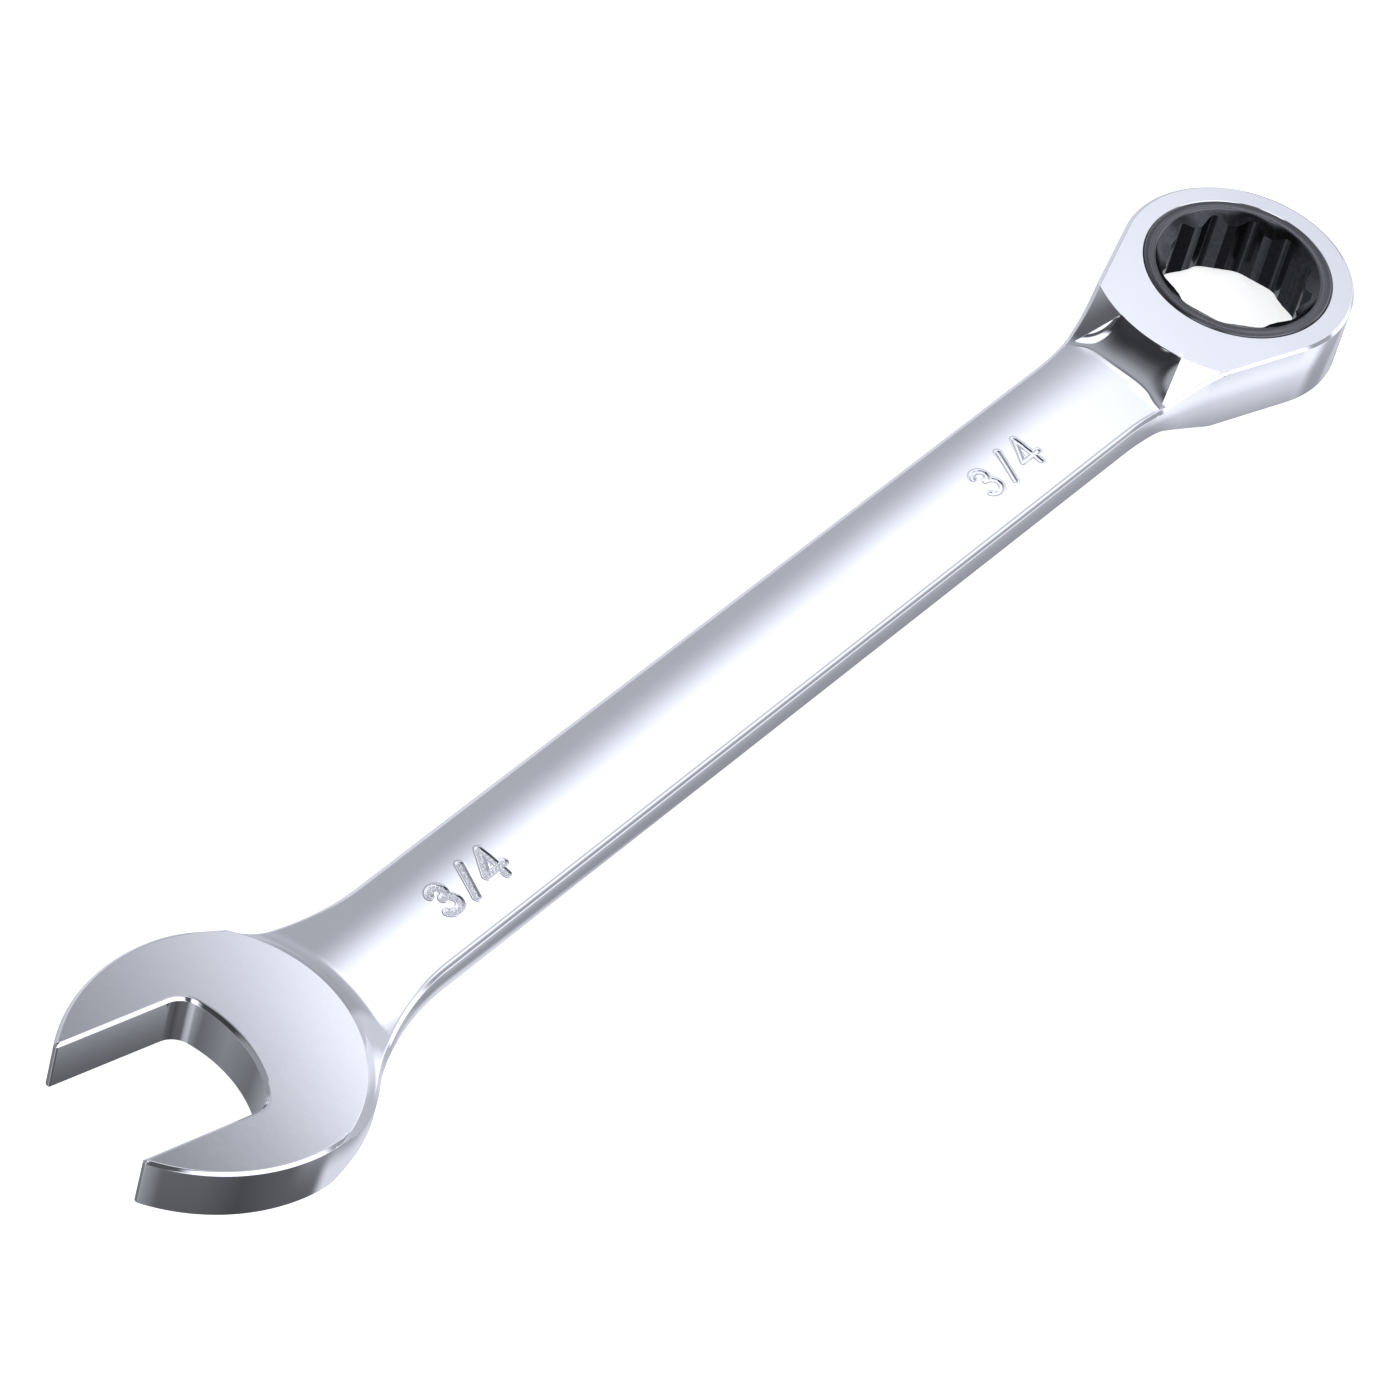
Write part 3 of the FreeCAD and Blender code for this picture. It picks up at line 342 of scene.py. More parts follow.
def inner_points(fine):
    """Points inside the outline: loops along the wall, polar round both heads, a grid
    along the shank and a fine one at the numerals."""
    pts = []
    for e in (0.03, 0.09, 0.2, 0.33, 0.39, 0.43, 0.49, 0.65, 0.9, 1.35, 1.95):
        q = P_OUT + N_OUT * e
        d = dist_inside(q[:, 0], q[:, 1])
        pts.append(q[d > e * 0.97 - 0.001])
    near = np.concatenate(pts)
    pts = []
    for r in (13.72, 14.1, 14.6):
        k = 150
        a = np.arange(k) * 2 * pi / k + r
        pts.append(np.c_[r * np.cos(a), r * np.sin(a)])
    radii = np.concatenate([np.arange(15.3, 20.7, 0.9),
                            [20.9, 21.5, 21.7],
                            np.arange(21.95, 34.0, 0.3)])
    for r in radii:
        if r < 20.8:
            k = int(2 * pi * r / 0.9)
            a = np.arange(k) * 2 * pi / k + (r * 7.0) % 1.0
        else:
            k = int(1.6 * r / 0.32)
            a = pi - 0.8 + np.arange(k) * 1.6 / k
        pts.append(np.c_[r * np.cos(a), r * np.sin(a)])
    ring = np.concatenate(pts)
    ring = ring[ring[:, 0] > -33.5]
    pts = []
    radii = np.concatenate([np.arange(2.0, 20.4, 1.0), [20.7, 21.3, 21.5],
                            np.arange(21.75, 29.5, 0.3)])
    for r in radii:
        if r < 20.6:
            k = max(8, int(2 * pi * r / 1.0))
            a = np.arange(k) * 2 * pi / k + (r * 5.0) % 1.0
        else:
            k = int(2.2 * r / 0.32)
            a = -1.1 + np.arange(k) * 2.2 / k
        pts.append(np.c_[OX + r * np.cos(a), OY + r * np.sin(a)])
    head = np.concatenate(pts)
    head = head[head[:, 0] < -186.0]
    gx, gy = np.meshgrid(np.arange(-185.2, -34.0, 1.2), np.arange(-6.3, 6.31, 0.6))
    g = np.c_[gx.ravel(), gy.ravel()]
    fine_pts = []
    if fine:
        for b in NUM_BOX:
            g = g[~((g[:, 0] > b[0] - 0.2) & (g[:, 0] < b[2] + 0.2)
                    & (g[:, 1] > b[1] - 0.2) & (g[:, 1] < b[3] + 0.2))]
            fx, fy = np.meshgrid(np.arange(b[0], b[2], 0.1), np.arange(b[1], b[3], 0.1))
            fine_pts.append(np.c_[fx.ravel(), fy.ravel()])
    q = np.concatenate([ring, head, g] + fine_pts)
    d = dist_inside(q[:, 0], q[:, 1])
    q = np.concatenate([near, q[d > 2.25]])
    # rows that follow the creases and the borders of the flat faces
    off = np.hypot(q[:, 0], q[:, 1])
    lane = np.abs(np.abs(np.arctan2(np.abs(q[:, 1]), -q[:, 0])) - crease_angle(off)) * off
    oo = np.hypot(q[:, 0] - OX, q[:, 1] - OY)
    crowd = ((lane < 0.16) & (off > 21.0) & (off < 31.5) & (q[:, 0] < 0)) \
        | ((np.abs(off - FACE_R) < 0.19) & (q[:, 0] < -14.5)) \
        | ((np.abs(oo - OFACE_R) < 0.24) & (q[:, 0] > OX + 2) & (q[:, 0] < -150))
    q = q[~crowd]
    rc = np.arange(21.35, 31.5, 0.09)
    lines = []
    for side in (-1, 1):
        for k in (-0.09, -0.03, 0.03, 0.09):
            a = crease_angle(rc) + k / rc
            lines.append(np.c_[-rc * np.cos(a), side * rc * np.sin(a)])
    a = np.arange(-0.8, 0.8001, 0.0042)
    for e in (-0.12, -0.06, -0.02, 0.03, 0.08, 0.15):
        r = FACE_R + e
        lines.append(np.c_[-r * np.cos(a), r * np.sin(a)])
    a = np.arange(-1.46, 1.4601, 0.0042)
    for e in (-0.17, -0.09, -0.03, 0.03, 0.10, 0.19):
        r = OFACE_R + e
        lines.append(np.c_[OX + r * np.cos(a), OY + r * np.sin(a)])
    lines = np.concatenate(lines)
    d = dist_inside(lines[:, 0], lines[:, 1])
    q = np.concatenate([q, lines[d > 0.025]])
    return q[np.hypot(q[:, 0], q[:, 1]) > BORE + 0.28]


# ------------------------------------------------------------------- body mesh
POCKET_HW, POCKET_HH, POCKET_BACK = 4.68, 2.65, 18.6
WELL_R, WELL_BACK = 1.35, 20.9
GROOVE_R, GROOVE_LO, GROOVE_HI = 14.02, -4.4, -3.6


class Shell:
    """Vertices welded by place, faces, and one normal for every face corner."""

    def __init__(self):
        self.v, self.key, self.f, self.n = [], {}, [], []

    def vert(self, p):
        k = (round(p[0], 5), round(p[1], 5), round(p[2], 5))
        i = self.key.get(k)
        if i is None:
            i = self.key[k] = len(self.v)
            self.v.append(tuple(float(c) for c in p))
        return i

    def face(self, ids, normals=None):
        """normals: one for each corner, or None for the face's own."""
        ids = list(ids)
        if len(set(ids)) < 3:
            return
        if normals is None:
            p = np.array([self.v[i] for i in ids])
            c = np.zeros(3)
            for k in range(len(ids)):
                c += np.cross(p[k], p[(k + 1) % len(ids)])
            L = np.linalg.norm(c)
            normals = [tuple(c / L if L > 0 else (0, 0, 1))] * len(ids)
        self.f.append(ids)
        self.n.append([tuple(float(x) for x in q) for q in normals])

    def mesh(self, name):
        me = bpy.data.meshes.new(name)
        me.from_pydata([(a * MM, b * MM, c * MM) for a, b, c in self.v], [], self.f)
        me.polygons.foreach_set("use_smooth", [True] * len(me.polygons))
        me.update()
        flat = [q for ns in self.n for q in ns]
        me.normals_split_custom_set(flat)
        me.update()
        return me


def lift(shell, marks, sign):
    """One face of the forging, with the outline and the bore as its borders."""
    n = len(P_OUT)
    ka = len(BORE_ANG)
    rim = np.c_[(BORE + 0.15) * np.cos(BORE_ANG), (BORE + 0.15) * np.sin(BORE_ANG)]
    pts = np.concatenate([P_OUT, rim, inner_points(marks)])
    edges = [(i, (i + 1) % n) for i in range(n)] + [(n + i, n + (i + 1) % ka) for i in range(ka)]
    co, _, faces, orig, _, _ = delaunay_2d_cdt([Vector(p) for p in pts.tolist()], edges, [], 2, 1e-7)
    co = np.array([(p[0], p[1]) for p in co])
    z = plan_height(co[:, 0], co[:, 1], marks)
    nn = plan_normals(co[:, 0], co[:, 1], marks)
    src = np.full(len(co), -1)
    for i, o in enumerate(orig):
        if o:
            src[i] = min(o)
    # the outline carries the wall's own height and normal, the bore rim its own
    wall = (src >= 0) & (src < n)
    k = src[wall]
    q = P_OUT[k] + N_OUT[k] * 0.004
    nn[wall] = np.c_[-N_OUT[k], np.zeros(len(k))]
    z[wall] = wall_top(k)
    co[wall] = P_OUT[k]
    rim_v = (src >= n) & (src < n + ka)
    z[rim_v] = HALF_H
    nn[rim_v] = (0, 0, 1)
    co[rim_v] = rim[src[rim_v] - n]
    faces = [f for f in faces if not all(rim_v[i] for i in f)]
    nn[:, 2] *= sign
    used = set(i for f in faces for i in f)
    ids = {i: shell.vert((co[i, 0], co[i, 1], sign * z[i])) for i in sorted(used)}
    for f in faces:
        f = list(f)
        a, b, c = co[f[0]], co[f[1]], co[f[2]]
        area = (b[0] - a[0]) * (c[1] - a[1]) - (b[1] - a[1]) * (c[0] - a[0])
        if area * sign < 0:
            f = f[::-1]
        shell.face([ids[i] for i in f], [tuple(nn[i]) for i in f])


def wall_top(k):
    q = P_OUT[k] + N_OUT[k] * 0.01
    return height(q[:, 0], q[:, 1]) - edge_drop(q[:, 0], np.zeros(len(k)))


half_pocket = math.asin(POCKET_HW / BORE)
BORE_ANG = np.concatenate([
    np.linspace(-pi + half_pocket, pi - half_pocket, 150, endpoint=False),
    np.linspace(pi - half_pocket, pi + half_pocket, 18, endpoint=False)])


def build_body():
    sh = Shell()
    lift(sh, True, 1)
    lift(sh, False, -1)
    n = len(P_OUT)
    zt = wall_top(np.arange(n))
    rows = [-1.0, -0.5, 0.0, 0.5, 1.0]

    def wall_normal(i, r):
        t = (0.02 if P_OUT[i, 0] < -190 else 0.115 if r > 0 else 0.05) * r
        k = 1 / math.sqrt(1 + t * t)
        return (-N_OUT[i, 0] * k, -N_OUT[i, 1] * k, t * k)

    ids = [[sh.vert((P_OUT[i, 0], P_OUT[i, 1], zt[i] * r)) for i in range(n)] for r in rows]
    for j in range(len(rows) - 1):
        for i in range(n):
            k = (i + 1) % n
            sh.face([ids[j][i], ids[j][k], ids[j + 1][k], ids[j + 1][i]],
                    [wall_normal(i, rows[j]), wall_normal(k, rows[j]),
                     wall_normal(k, rows[j + 1]), wall_normal(i, rows[j + 1])])
    # bore: eased rims, wall, pawl pocket and snap ring groove
    A = BORE_ANG
    ka = len(A)
    ca, sa = np.cos(A), np.sin(A)
    at = lambda r, z: [sh.vert((r * ca[i], r * sa[i], z)) for i in range(ka)]
    inward = [(-ca[i], -sa[i], 0.0) for i in range(ka)]
    up = [(0, 0, 1.0)] * ka
    down = [(0, 0, -1.0)] * ka

    def band(lo, hi, norm, skip=None):
        for i in range(ka):
            k = (i + 1) % ka
            if skip is not None and skip(i):
                continue
            nrm = norm if norm is None else [norm[i], norm[i], norm[k], norm[k]]
            sh.face([lo[i], hi[i], hi[k], lo[k]], nrm)

    zr = HALF_H - 0.15
    band(at(BORE, zr), at(BORE + 0.15, HALF_H), [((-ca[i]) * 0.7071, (-sa[i]) * 0.7071, 0.7071) for i in range(ka)])
    band(at(BORE + 0.15, -HALF_H), at(BORE, -zr), [((-ca[i]) * 0.7071, (-sa[i]) * 0.7071, -0.7071) for i in range(ka)])
    levels = [-zr, GROOVE_LO, GROOVE_HI, -POCKET_HH, POCKET_HH, zr]
    open_ = lambda i: i >= 150
    for lo, hi in zip(levels[:-1], levels[1:]):
        if lo == GROOVE_LO:
            band(at(BORE, lo), at(GROOVE_R, lo), up)
            band(at(GROOVE_R, lo), at(GROOVE_R, hi), inward)
            band(at(GROOVE_R, hi), at(BORE, hi), down)
        else:
            band(at(BORE, lo), at(BORE, hi), inward, open_ if lo == -POCKET_HH else None)
    # pocket
    arc_ids = list(range(150, ka)) + [0]
    for z, s in ((POCKET_HH, -1), (-POCKET_HH, 1)):
        loop = [sh.vert((BORE * ca[i], BORE * sa[i], z)) for i in arc_ids]
        loop += [sh.vert((-POCKET_BACK, -POCKET_HW, z)), sh.vert((-POCKET_BACK, POCKET_HW, z))]
        if s > 0:
            loop = loop[::-1]
        sh.face(loop, [(0, 0, float(s))] * len(loop))
    for y, i in ((POCKET_HW, 150), (-POCKET_HW, 0)):
        q = [sh.vert((BORE * ca[i], BORE * sa[i], -POCKET_HH)), sh.vert((BORE * ca[i], BORE * sa[i], POCKET_HH)),
             sh.vert((-POCKET_BACK, y, POCKET_HH)), sh.vert((-POCKET_BACK, y, -POCKET_HH))]
        if y < 0:
            q = q[::-1]
        sh.face(q, [(0, -1.0 if y > 0 else 1.0, 0)] * 4)
    k = 24
    b = np.arange(k) * 2 * pi / k
    wy, wz = WELL_R * np.cos(b), WELL_R * np.sin(b)
    rect = [(-POCKET_HW, -POCKET_HH), (POCKET_HW, -POCKET_HH), (POCKET_HW, POCKET_HH), (-POCKET_HW, POCKET_HH)]
    pts = rect + list(zip(wy, wz))
    ed = [(i, (i + 1) % 4) for i in range(4)] + [(4 + i, 4 + (i + 1) % k) for i in range(k)]
    co, _, faces, _, _, _ = delaunay_2d_cdt([Vector(p) for p in pts], ed, [], 2, 1e-7)
    for f in faces:
        f = list(f)
        if min(f) > 3:
            continue
        p0, p1, p2 = (co[i] for i in f[:3])
        if (p1[0] - p0[0]) * (p2[1] - p0[1]) - (p1[1] - p0[1]) * (p2[0] - p0[0]) < 0:
            f = f[::-1]
        sh.face([sh.vert((-POCKET_BACK, co[i][0], co[i][1])) for i in f], [(1.0, 0, 0)] * len(f))
    front = [sh.vert((-POCKET_BACK, wy[i], wz[i])) for i in range(k)]
    back = [sh.vert((-WELL_BACK, wy[i], wz[i])) for i in range(k)]
    for i in range(k):
        j = (i + 1) % k
        ni, nj = (0, -math.cos(b[i]), -math.sin(b[i])), (0, -math.cos(b[j]), -math.sin(b[j]))
        sh.face([front[i], front[j], back[j], back[i]], [ni, nj, nj, ni])
    sh.face(back, [(1.0, 0, 0)] * k)
    return sh


body_shell = build_body()
body = bpy.data.objects.new("forged_body", body_shell.mesh("forged_body"))
bpy.context.scene.collection.objects.link(body)
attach(body, "wrench")
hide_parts("wrench_body")


# ------------------------------------------------------------------- gear mesh
def tooth_profile():
    """Angles and radii round the 72 teeth: one flat-bottomed V gap every five degrees."""
    tip, root = 13.36, 12.62
    lip = math.asin(0.4626 / tip)
    foot = math.atan2(0.06, root)
    out = []
    for k in range(72):
        c = -pi + rad(5.0) * (k + 0.5) - rad(2.5)
        for a, r in ((-lip, tip), (-foot, root), (foot, root), (lip, tip)):
            out.append(((c + a + pi) % (2 * pi) - pi, r))
    out = np.array(sorted(out))
    return out[:, 0], out[:, 1]


RIDGE, CORNER, ROUND, TURN = 9.95, 11.05, 1.15, -6.3


def socket_profile():
    """Angles and radii round the twelve-point socket."""
    half_mouth = rad(15.0) - 0.65 / RIDGE
    mouth = (RIDGE * math.cos(half_mouth), RIDGE * math.sin(half_mouth))
    c0 = CORNER - ROUND
    dx, dy = mouth[0] - c0, mouth[1]
    ta = math.atan2(dy, dx) - math.acos(ROUND / math.hypot(dx, dy))
    half = [(c0 + ROUND * math.cos(t), ROUND * math.sin(t)) for t in np.linspace(0, ta, 6)]
    tp = half[-1]
    half += [(tp[0] + (mouth[0] - tp[0]) * k, tp[1] + (mouth[1] - tp[1]) * k) for k in (0.5, 0.93, 1.0)]
    half += [(RIDGE * math.cos(t), RIDGE * math.sin(t)) for t in (half_mouth + 0.008, rad(15.0))]
    pos = [(math.atan2(y, x), math.hypot(x, y)) for x, y in half]
    sector = [(-a, r) for a, r in pos[:0:-1]] + pos
    out = []
    for k in range(12):
        out += [((a + rad(TURN + 30 * k) + pi) % (2 * pi) - pi, r) for a, r in sector]
    out = np.array(sorted(out))
    out = out[np.r_[True, np.diff(out[:, 0]) > 1e-5]]
    return out[:, 0], out[:, 1]


def build_gear():
    ai, ri = socket_profile()
    ao, ro_ = tooth_profile()
    A = np.sort(np.concatenate([ai, ao, np.linspace(-pi, pi, 240, endpoint=False)]))
    A = A[np.r_[True, np.diff(A) > 0.0006]]
    si = np.interp(A, ai, ri, period=2 * pi)
    so = np.interp(A, ao, ro_, period=2 * pi)
    c, s_ = np.cos(A), np.sin(A)
    one = np.ones(len(A))
    face = [(13.36, 5.35), (13.33, 5.46), (13.25, 5.55), (13.14, 5.60), (12.56, 5.60), (12.53, 5.572),
            (12.47, 5.572), (12.44, 5.60), (11.93, 5.60), (11.865, 5.588), (11.81, 5.555), (11.775, 5.505)]
    lead = 5.505 - 0.711 * (11.775 - si)
    rows = [(one * q, one * z) for q, z in face]
    rows += [((si + 11.775) / 2, (lead + 5.505) / 2)]
    rows += [(si, lead), (si, lead * 0.33), (si, -lead * 0.33), (si, -lead)]
    rows += [((si + 11.775) / 2, -(lead + 5.505) / 2)]
    rows += [(one * q, -one * z) for q, z in face[::-1]]
    rows += [(one * 13.36, -one * 4.4), (one * 12.62, -one * 4.4), (one * 12.62, -one * 3.6), (one * 13.36, -one * 3.6),
             (one * 13.36, -one * 2.7), (so, -one * 2.7), (so, one * 2.7), (one * 13.36, one * 2.7)]
    sh = Shell()
    ids = [[sh.vert((q[i] * c[i], q[i] * s_[i], z[i])) for i in range(len(A))] for q, z in rows]
    n = len(A)
    for j in range(len(rows)):
        u, w = ids[j], ids[(j + 1) % len(rows)]
        for i in range(n):
            k = (i + 1) % n
            f = [u[i], w[i], w[k], u[k]][::-1]
            f = [q for t, q in enumerate(f) if q != f[t - 1]]
            if len(set(f)) >= 3:
                sh.f.append(f)
    me = bpy.data.meshes.new("socket_gear")
    me.from_pydata([(a_ * MM, b_ * MM, z_ * MM) for a_, b_, z_ in sh.v], [], sh.f)
    me.polygons.foreach_set("use_smooth", [True] * len(me.polygons))
    me.set_sharp_from_angle(angle=rad(38))
    me.update()
    return sh, me


_, gear_mesh = build_gear()
gear = bpy.data.objects.new("socket_gear", gear_mesh)
bpy.context.scene.collection.objects.link(gear)
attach(gear, "gear")
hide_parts("ratchet_gear")


# ------------------------------------------------------------------- materials
def node_material(name):
    mat = bpy.data.materials.new(name)
    mat.use_nodes = True
    nt = mat.node_tree
    return mat, nt, nt.nodes["Principled BSDF"]


def chrome():
    mat, nt, b = node_material("polished_chrome")
    b.inputs["Metallic"].default_value = 1.0
    tc = nt.nodes.new("ShaderNodeTexCoord")
    # slow shade change in the plate
    n1 = nt.nodes.new("ShaderNodeTexNoise")
    n1.inputs["Scale"].default_value = 60.0
    n1.inputs["Detail"].default_value = 3.0
    nt.links.new(tc.outputs["Object"], n1.inputs["Vector"])
    ramp = nt.nodes.new("ShaderNodeValToRGB")
    ramp.color_ramp.elements[0].position = 0.35
    ramp.color_ramp.elements[0].color = (0.845, 0.850, 0.868, 1)
    ramp.color_ramp.elements[1].position = 0.65
    ramp.color_ramp.elements[1].color = (0.875, 0.879, 0.895, 1)
    nt.links.new(n1.outputs["Fac"], ramp.inputs["Fac"])
    nt.links.new(ramp.outputs["Color"], b.inputs["Base Color"])
    # polish: fine variation of the gloss
    n2 = nt.nodes.new("ShaderNodeTexNoise")
    n2.inputs["Scale"].default_value = 900.0
    n2.inputs["Detail"].default_value = 4.0
    nt.links.new(tc.outputs["Object"], n2.inputs["Vector"])
    mr = nt.nodes.new("ShaderNodeMapRange")
    mr.inputs["To Min"].default_value = 0.045
    mr.inputs["To Max"].default_value = 0.075
    nt.links.new(n2.outputs["Fac"], mr.inputs["Value"])
    nt.links.new(mr.outputs["Result"], b.inputs["Roughness"])
    bump = nt.nodes.new("ShaderNodeBump")
    bump.inputs["Strength"].default_value = 0.05
    bump.inputs["Distance"].default_value = 0.000009
    nt.links.new(n2.outputs["Fac"], bump.inputs["Height"])
    nt.links.new(bump.outputs["Normal"], b.inputs["Normal"])
    return mat


def dark_steel(name, lo, hi, r0, r1, scale=1400.0):
    mat, nt, b = node_material(name)
    b.inputs["Metallic"].default_value = 1.0
    tc = nt.nodes.new("ShaderNodeTexCoord")
    n1 = nt.nodes.new("ShaderNodeTexNoise")
    n1.inputs["Scale"].default_value = scale
    n1.inputs["Detail"].default_value = 5.0
    nt.links.new(tc.outputs["Object"], n1.inputs["Vector"])
    ramp = nt.nodes.new("ShaderNodeValToRGB")
    ramp.color_ramp.elements[0].position = 0.3
    ramp.color_ramp.elements[0].color = (*lo, 1)
    ramp.color_ramp.elements[1].position = 0.7
    ramp.color_ramp.elements[1].color = (*hi, 1)
    nt.links.new(n1.outputs["Fac"], ramp.inputs["Fac"])
    nt.links.new(ramp.outputs["Color"], b.inputs["Base Color"])
    mr = nt.nodes.new("ShaderNodeMapRange")
    mr.inputs["To Min"].default_value = r0
    mr.inputs["To Max"].default_value = r1
    nt.links.new(n1.outputs["Fac"], mr.inputs["Value"])
    nt.links.new(mr.outputs["Result"], b.inputs["Roughness"])
    bump = nt.nodes.new("ShaderNodeBump")
    bump.inputs["Strength"].default_value = 0.25
    bump.inputs["Distance"].default_value = 0.00003
    nt.links.new(n1.outputs["Fac"], bump.inputs["Height"])
    nt.links.new(bump.outputs["Normal"], b.inputs["Normal"])
    return mat


def oxide():
    """Black oxide, with painted light on the two faces: they are coloured lighter than the socket and lead-in, bright
    enough to show fine turned rings.
    """
    mat, nt, b = node_material("dark_oxide_steel")
    b.inputs["Metallic"].default_value = 1.0
    L = nt.links.new
    tc_ = nt.nodes.new("ShaderNodeTexCoord")
    sp = nt.nodes.new("ShaderNodeSeparateXYZ")
    L(tc_.outputs["Object"], sp.inputs[0])

    def m(kind, *v):
        n_ = nt.nodes.new("ShaderNodeMath")
        n_.operation = kind
        for i_, q in enumerate(v):
            if isinstance(q, (int, float)):
                n_.inputs[i_].default_value = q
            else:
                L(q, n_.inputs[i_])
        return n_.outputs[0]

    rr = m("SQRT", m("ADD", m("MULTIPLY", sp.outputs[0], sp.outputs[0]), m("MULTIPLY", sp.outputs[1], sp.outputs[1])))
    # mask of the outer part, which shows as the two faces: where the painted light goes
    face = nt.nodes.new("ShaderNodeMapRange")
    face.interpolation_type = "SMOOTHSTEP"
    L(rr, face.inputs["Value"])
    face.inputs["From Min"].default_value = 0.01168
    face.inputs["From Max"].default_value = 0.01180
    n1 = nt.nodes.new("ShaderNodeTexNoise")
    n1.inputs["Scale"].default_value = 1500.0
    n1.inputs["Detail"].default_value = 4.0
    L(tc_.outputs["Object"], n1.inputs["Vector"])
    rings = nt.nodes.new("ShaderNodeTexNoise")
    rings.noise_dimensions = "1D"
    rings.inputs["Scale"].default_value = 9000.0
    rings.inputs["Detail"].default_value = 2.0
    L(rr, rings.inputs["W"])
    dark = nt.nodes.new("ShaderNodeValToRGB")
    dark.color_ramp.elements[0].position = 0.3
    dark.color_ramp.elements[0].color = (0.050, 0.050, 0.055, 1)
    dark.color_ramp.elements[1].position = 0.7
    dark.color_ramp.elements[1].color = (0.075, 0.075, 0.082, 1)
    L(n1.outputs["Fac"], dark.inputs["Fac"])
    # painted light: the faces' lighter colour, with the fine rings in it
    lit_face_colour = nt.nodes.new("ShaderNodeValToRGB")
    lit_face_colour.color_ramp.elements[0].position = 0.3
    lit_face_colour.color_ramp.elements[0].color = (0.120, 0.120, 0.126, 1)
    lit_face_colour.color_ramp.elements[1].position = 0.7
    lit_face_colour.color_ramp.elements[1].color = (0.175, 0.175, 0.184, 1)
    L(rings.outputs["Fac"], lit_face_colour.inputs["Fac"])
    mx = nt.nodes.new("ShaderNodeMix")
    mx.data_type = "RGBA"
    L(face.outputs["Result"], mx.inputs[0])
    L(dark.outputs["Color"], mx.inputs[6])
    L(lit_face_colour.outputs["Color"], mx.inputs[7])
    L(mx.outputs[2], b.inputs["Base Color"])
    mr = nt.nodes.new("ShaderNodeMapRange")
    mr.inputs["To Min"].default_value = 0.16
    mr.inputs["To Max"].default_value = 0.26
    L(n1.outputs["Fac"], mr.inputs["Value"])
    L(mr.outputs["Result"], b.inputs["Roughness"])
    bump = nt.nodes.new("ShaderNodeBump")
    bump.inputs["Strength"].default_value = 0.2
    bump.inputs["Distance"].default_value = 0.00002
    L(m("MULTIPLY", rings.outputs["Fac"], face.outputs["Result"]), bump.inputs["Height"])
    L(bump.outputs["Normal"], b.inputs["Normal"])
    return mat


def assign(obj, mat):
    obj.data.materials.clear()
    obj.data.materials.append(mat)


assign(body, chrome())
assign(gear, oxide())
steel = dark_steel("tool_steel", (0.34, 0.34, 0.36), (0.42, 0.42, 0.44), 0.25, 0.38)
assign(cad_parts["pawl"], steel)
wire = dark_steel("spring_steel", (0.42, 0.42, 0.45), (0.52, 0.52, 0.54), 0.22, 0.34)
assign(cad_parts["pawl_spring"], wire)
assign(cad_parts["retaining_ring"], wire)

# ---------------------------------------------------------------------- studio
FLOOR_Z = -5.6 * MM
me = bpy.data.meshes.new("floor")
me.from_pydata([(-6, -6, FLOOR_Z), (6, -6, FLOOR_Z), (6, 6, FLOOR_Z), (-6, 6, FLOOR_Z)], [], [(0, 1, 2, 3)])
floor = bpy.data.objects.new("floor", me)
bpy.context.scene.collection.objects.link(floor)
fmat, fnt, fb = node_material("pale_floor")
fb.inputs["Base Color"].default_value = (0.9, 0.9, 0.9, 1)
fb.inputs["Roughness"].default_value = 0.9
fb.inputs["Emission Color"].default_value = (1, 1, 1, 1)
fb.inputs["Emission Strength"].default_value = 0.80
me.materials.append(fmat)
floor.visible_glossy = False

# The studio round the tool: a wide soft box behind it to the right, a white card in front,
# a dark corner to the left and a grey room below, all with soft borders.
world = bpy.data.worlds.new("studio")
bpy.context.scene.world = world
world.use_nodes = True
wnt = world.node_tree
W = wnt.nodes


def put(socket, value):
    if isinstance(value, (int, float)):
        socket.default_value = value
    else:
        wnt.links.new(value, socket)


def op(kind, a_, b_=0.0, c_=0.0):
    n_ = W.new("ShaderNodeMath")
    n_.operation = kind
    put(n_.inputs[0], a_)
    put(n_.inputs[1], b_)
    if len(n_.inputs) > 2:
        put(n_.inputs[2], c_)
    return n_.outputs[0]


def soft(v_, lo, hi, out0=0.0, out1=1.0):
    n_ = W.new("ShaderNodeMapRange")
    n_.interpolation_type = "SMOOTHSTEP"
    put(n_.inputs["Value"], v_)
    n_.inputs["From Min"].default_value = lo
    n_.inputs["From Max"].default_value = hi
    n_.inputs["To Min"].default_value = out0
    n_.inputs["To Max"].default_value = out1
    return n_.outputs["Result"]


def steps(v_, lo, hi, stops):
    n_ = W.new("ShaderNodeMapRange")
    put(n_.inputs["Value"], v_)
    n_.inputs["From Min"].default_value = lo
    n_.inputs["From Max"].default_value = hi
    r_ = W.new("ShaderNodeValToRGB")
    r_.color_ramp.interpolation = "B_SPLINE" if len(stops) < 2 else "LINEAR"
    el = r_.color_ramp.elements
    while len(el) > 1:
        el.remove(el[-1])
    for i_, (p_, c_) in enumerate(stops):
        e_ = el[0] if i_ == 0 else el.new((p_ - lo) / (hi - lo))
        e_.position = (p_ - lo) / (hi - lo)
        e_.color = (c_, c_, c_, 1)
    wnt.links.new(n_.outputs["Result"], r_.inputs["Fac"])
    return r_.outputs["Color"]


def mixed(a_, b_, t_):
    return op("ADD", a_, op("MULTIPLY", op("SUBTRACT", b_, a_), t_))


tc = W.new("ShaderNodeTexCoord")
sep = W.new("ShaderNodeSeparateXYZ")
wnt.links.new(tc.outputs["Generated"], sep.inputs[0])
DX, DY, DZ = sep.outputs

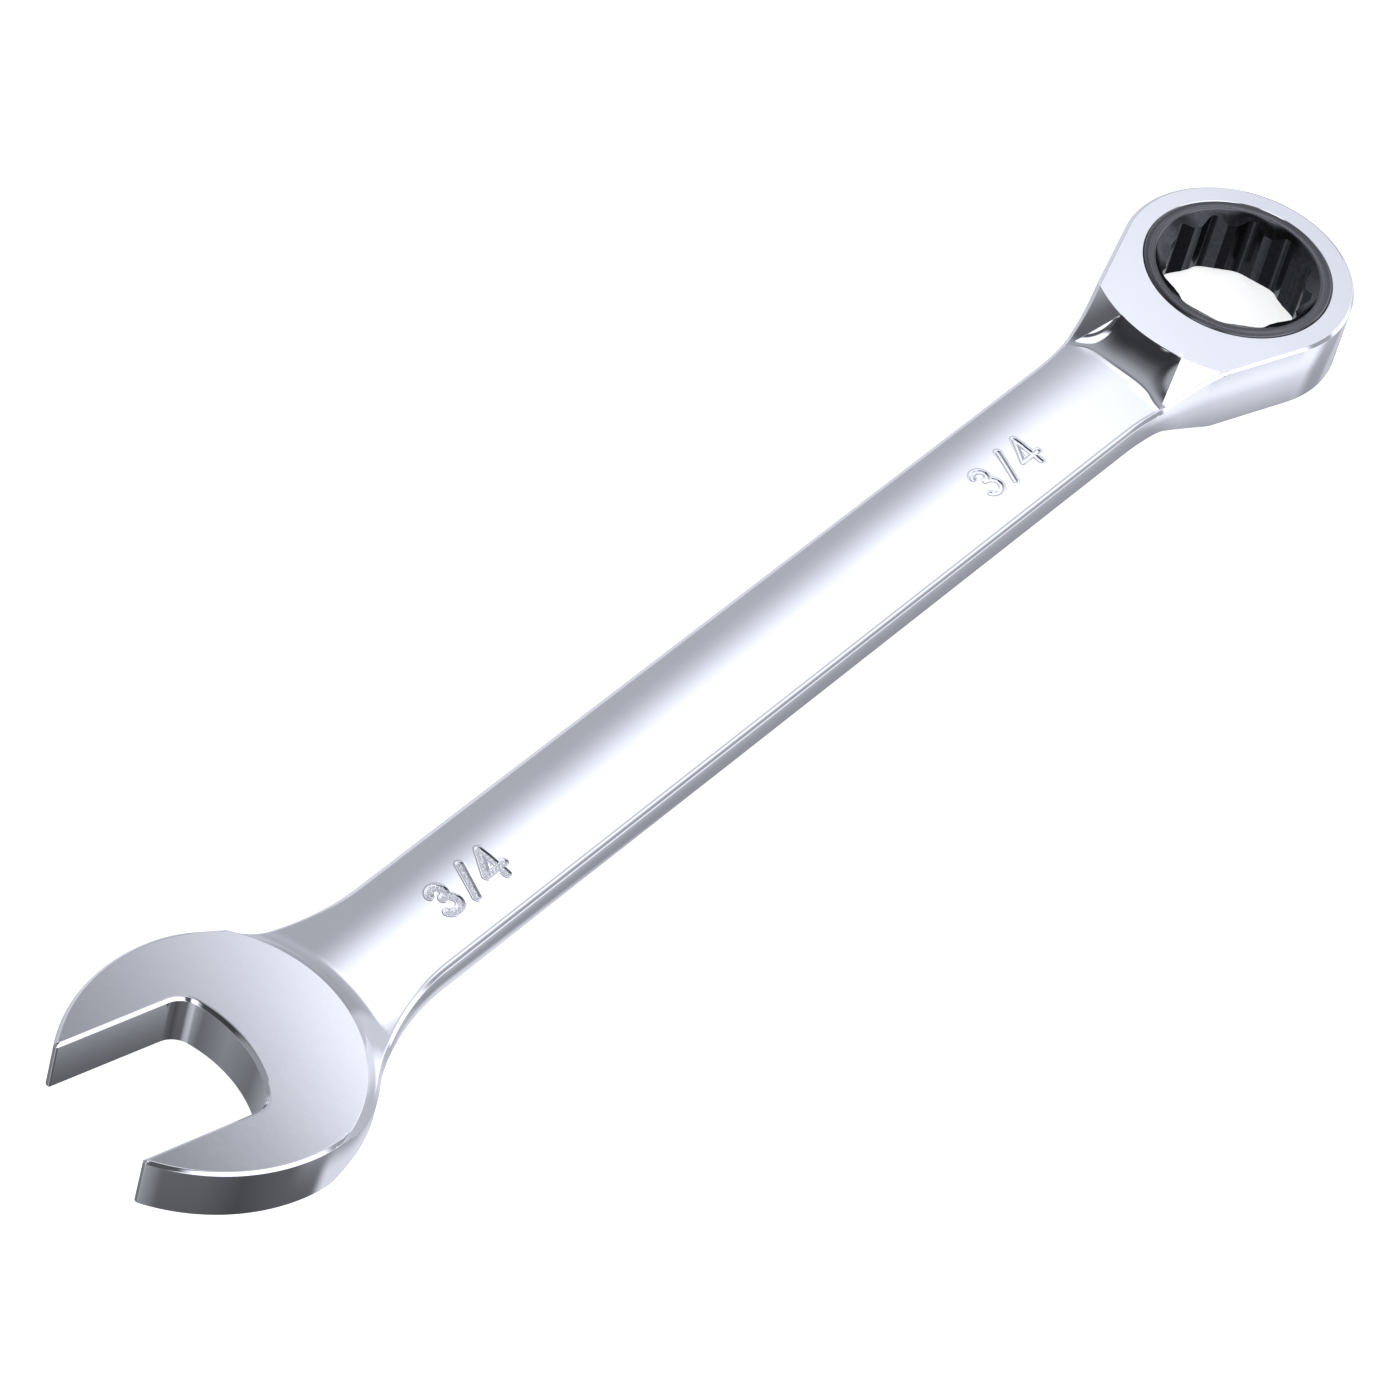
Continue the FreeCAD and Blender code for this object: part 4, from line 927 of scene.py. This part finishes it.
row_a = steps(DX, -1, 1, [(-1.0, .17), (-.85, .10), (-.72, .045), (-.40, .038), (-.22, .065), (-.1, .12), (.06, .20),
                          (.3, .40), (.45, .46), (.50, .30), (.532, .14), (.540, .24), (.546, .36), (.552, .54),
                          (.558, .85), (.564, 1.2), (.570, 1.5), (.655, 1.5), (.675, 1.15), (.70, .86), (.74, .55), (1.0, .42)])
row_b = steps(DX, -1, 1, [(-1.0, .10), (-.78, .06), (-.3, .040), (-.18, .048), (-.06, .075), (.06, .13), (.18, .20),
                          (.3, .30), (.42, .40), (.54, .46), (.62, .50), (.75, .56), (1.0, .45)])
up = mixed(row_a, row_b, soft(DY, 0.285, 0.435))
up = mixed(up, soft(DX, -.2, .4, .35, .85), soft(DY, 0.50, 0.70))
near_right = op("MULTIPLY", soft(DX, .30, .50), soft(DY, .175, .115))
near_val = steps(DY, -1, 1, [(-1, .40), (-.55, .45), (-.40, 1.2), (-.12, 1.3), (-.02, .72), (1, .72)])
near_val = mixed(near_val, 1.4, op("MULTIPLY", soft(DX, .66, .74), soft(DY, -.30, -.42)))
up = mixed(up, near_val, near_right)
# the white card in front: below a slanting line, left of the middle
line = op("SUBTRACT", DY, op("MULTIPLY_ADD", DX, .12, .17))
card = op("MULTIPLY", soft(line, .05, -.03), op("MULTIPLY", soft(DX, .36, .22), soft(DX, -.30, -.12)))
card = op("MULTIPLY", card, soft(DY, -.32, -.16))
card = op("MAXIMUM", card, op("MULTIPLY", soft(DY, -.46, -.58), soft(DX, .45, .3)))
up = mixed(up, .10, op("MULTIPLY", soft(DY, -.02, -.14), soft(DX, .1, -.1)))
spot = op("MULTIPLY", soft(DX, -.56, -.66), soft(op("ABSOLUTE", op("ADD", DY, .06)), .24, .14))
card = op("MAXIMUM", card, spot)
up = mixed(up, 1.5, card)

az = op("MULTIPLY", op("ARCTAN2", DY, DX), 180 / pi)
down = steps(az, -180, 180, [(-180, .75), (-166, .62), (-150, .17), (-126, .16), (-104, .10), (-82, .15), (-72, .16),
                             (-64, .16), (-52, .20), (-40, .42), (-28, .40), (-16, .40), (-6, .62), (8, .62),
                             (18, .38), (60, .55), (100, .22), (135, .34), (160, .20), (180, .75)])
down = op("MULTIPLY", down, soft(DZ, -.90, -.45, .62, 1.45))
lobe = op("MULTIPLY", soft(az, -78, -64), soft(az, -34, -52))
down = mixed(down, 1.15, op("MULTIPLY", lobe, soft(DZ, -.79, -.60)))
window = op("MULTIPLY", soft(az, -56, -42), soft(az, 38, 22))
down = mixed(down, .85, op("MULTIPLY", window, soft(DZ, -.745, -.768)))
both = mixed(down, up, soft(DZ, -.10, .04))
comb = W.new("ShaderNodeCombineColor")
for i_, k_ in enumerate((.915, .940, 1.045)):
    put(comb.inputs[i_], op("MULTIPLY", both, k_))
bg = W["Background"]
wnt.links.new(comb.outputs[0], bg.inputs["Color"])
bg.inputs["Strength"].default_value = 1.0

bpy.context.scene.view_settings.view_transform = "Standard"
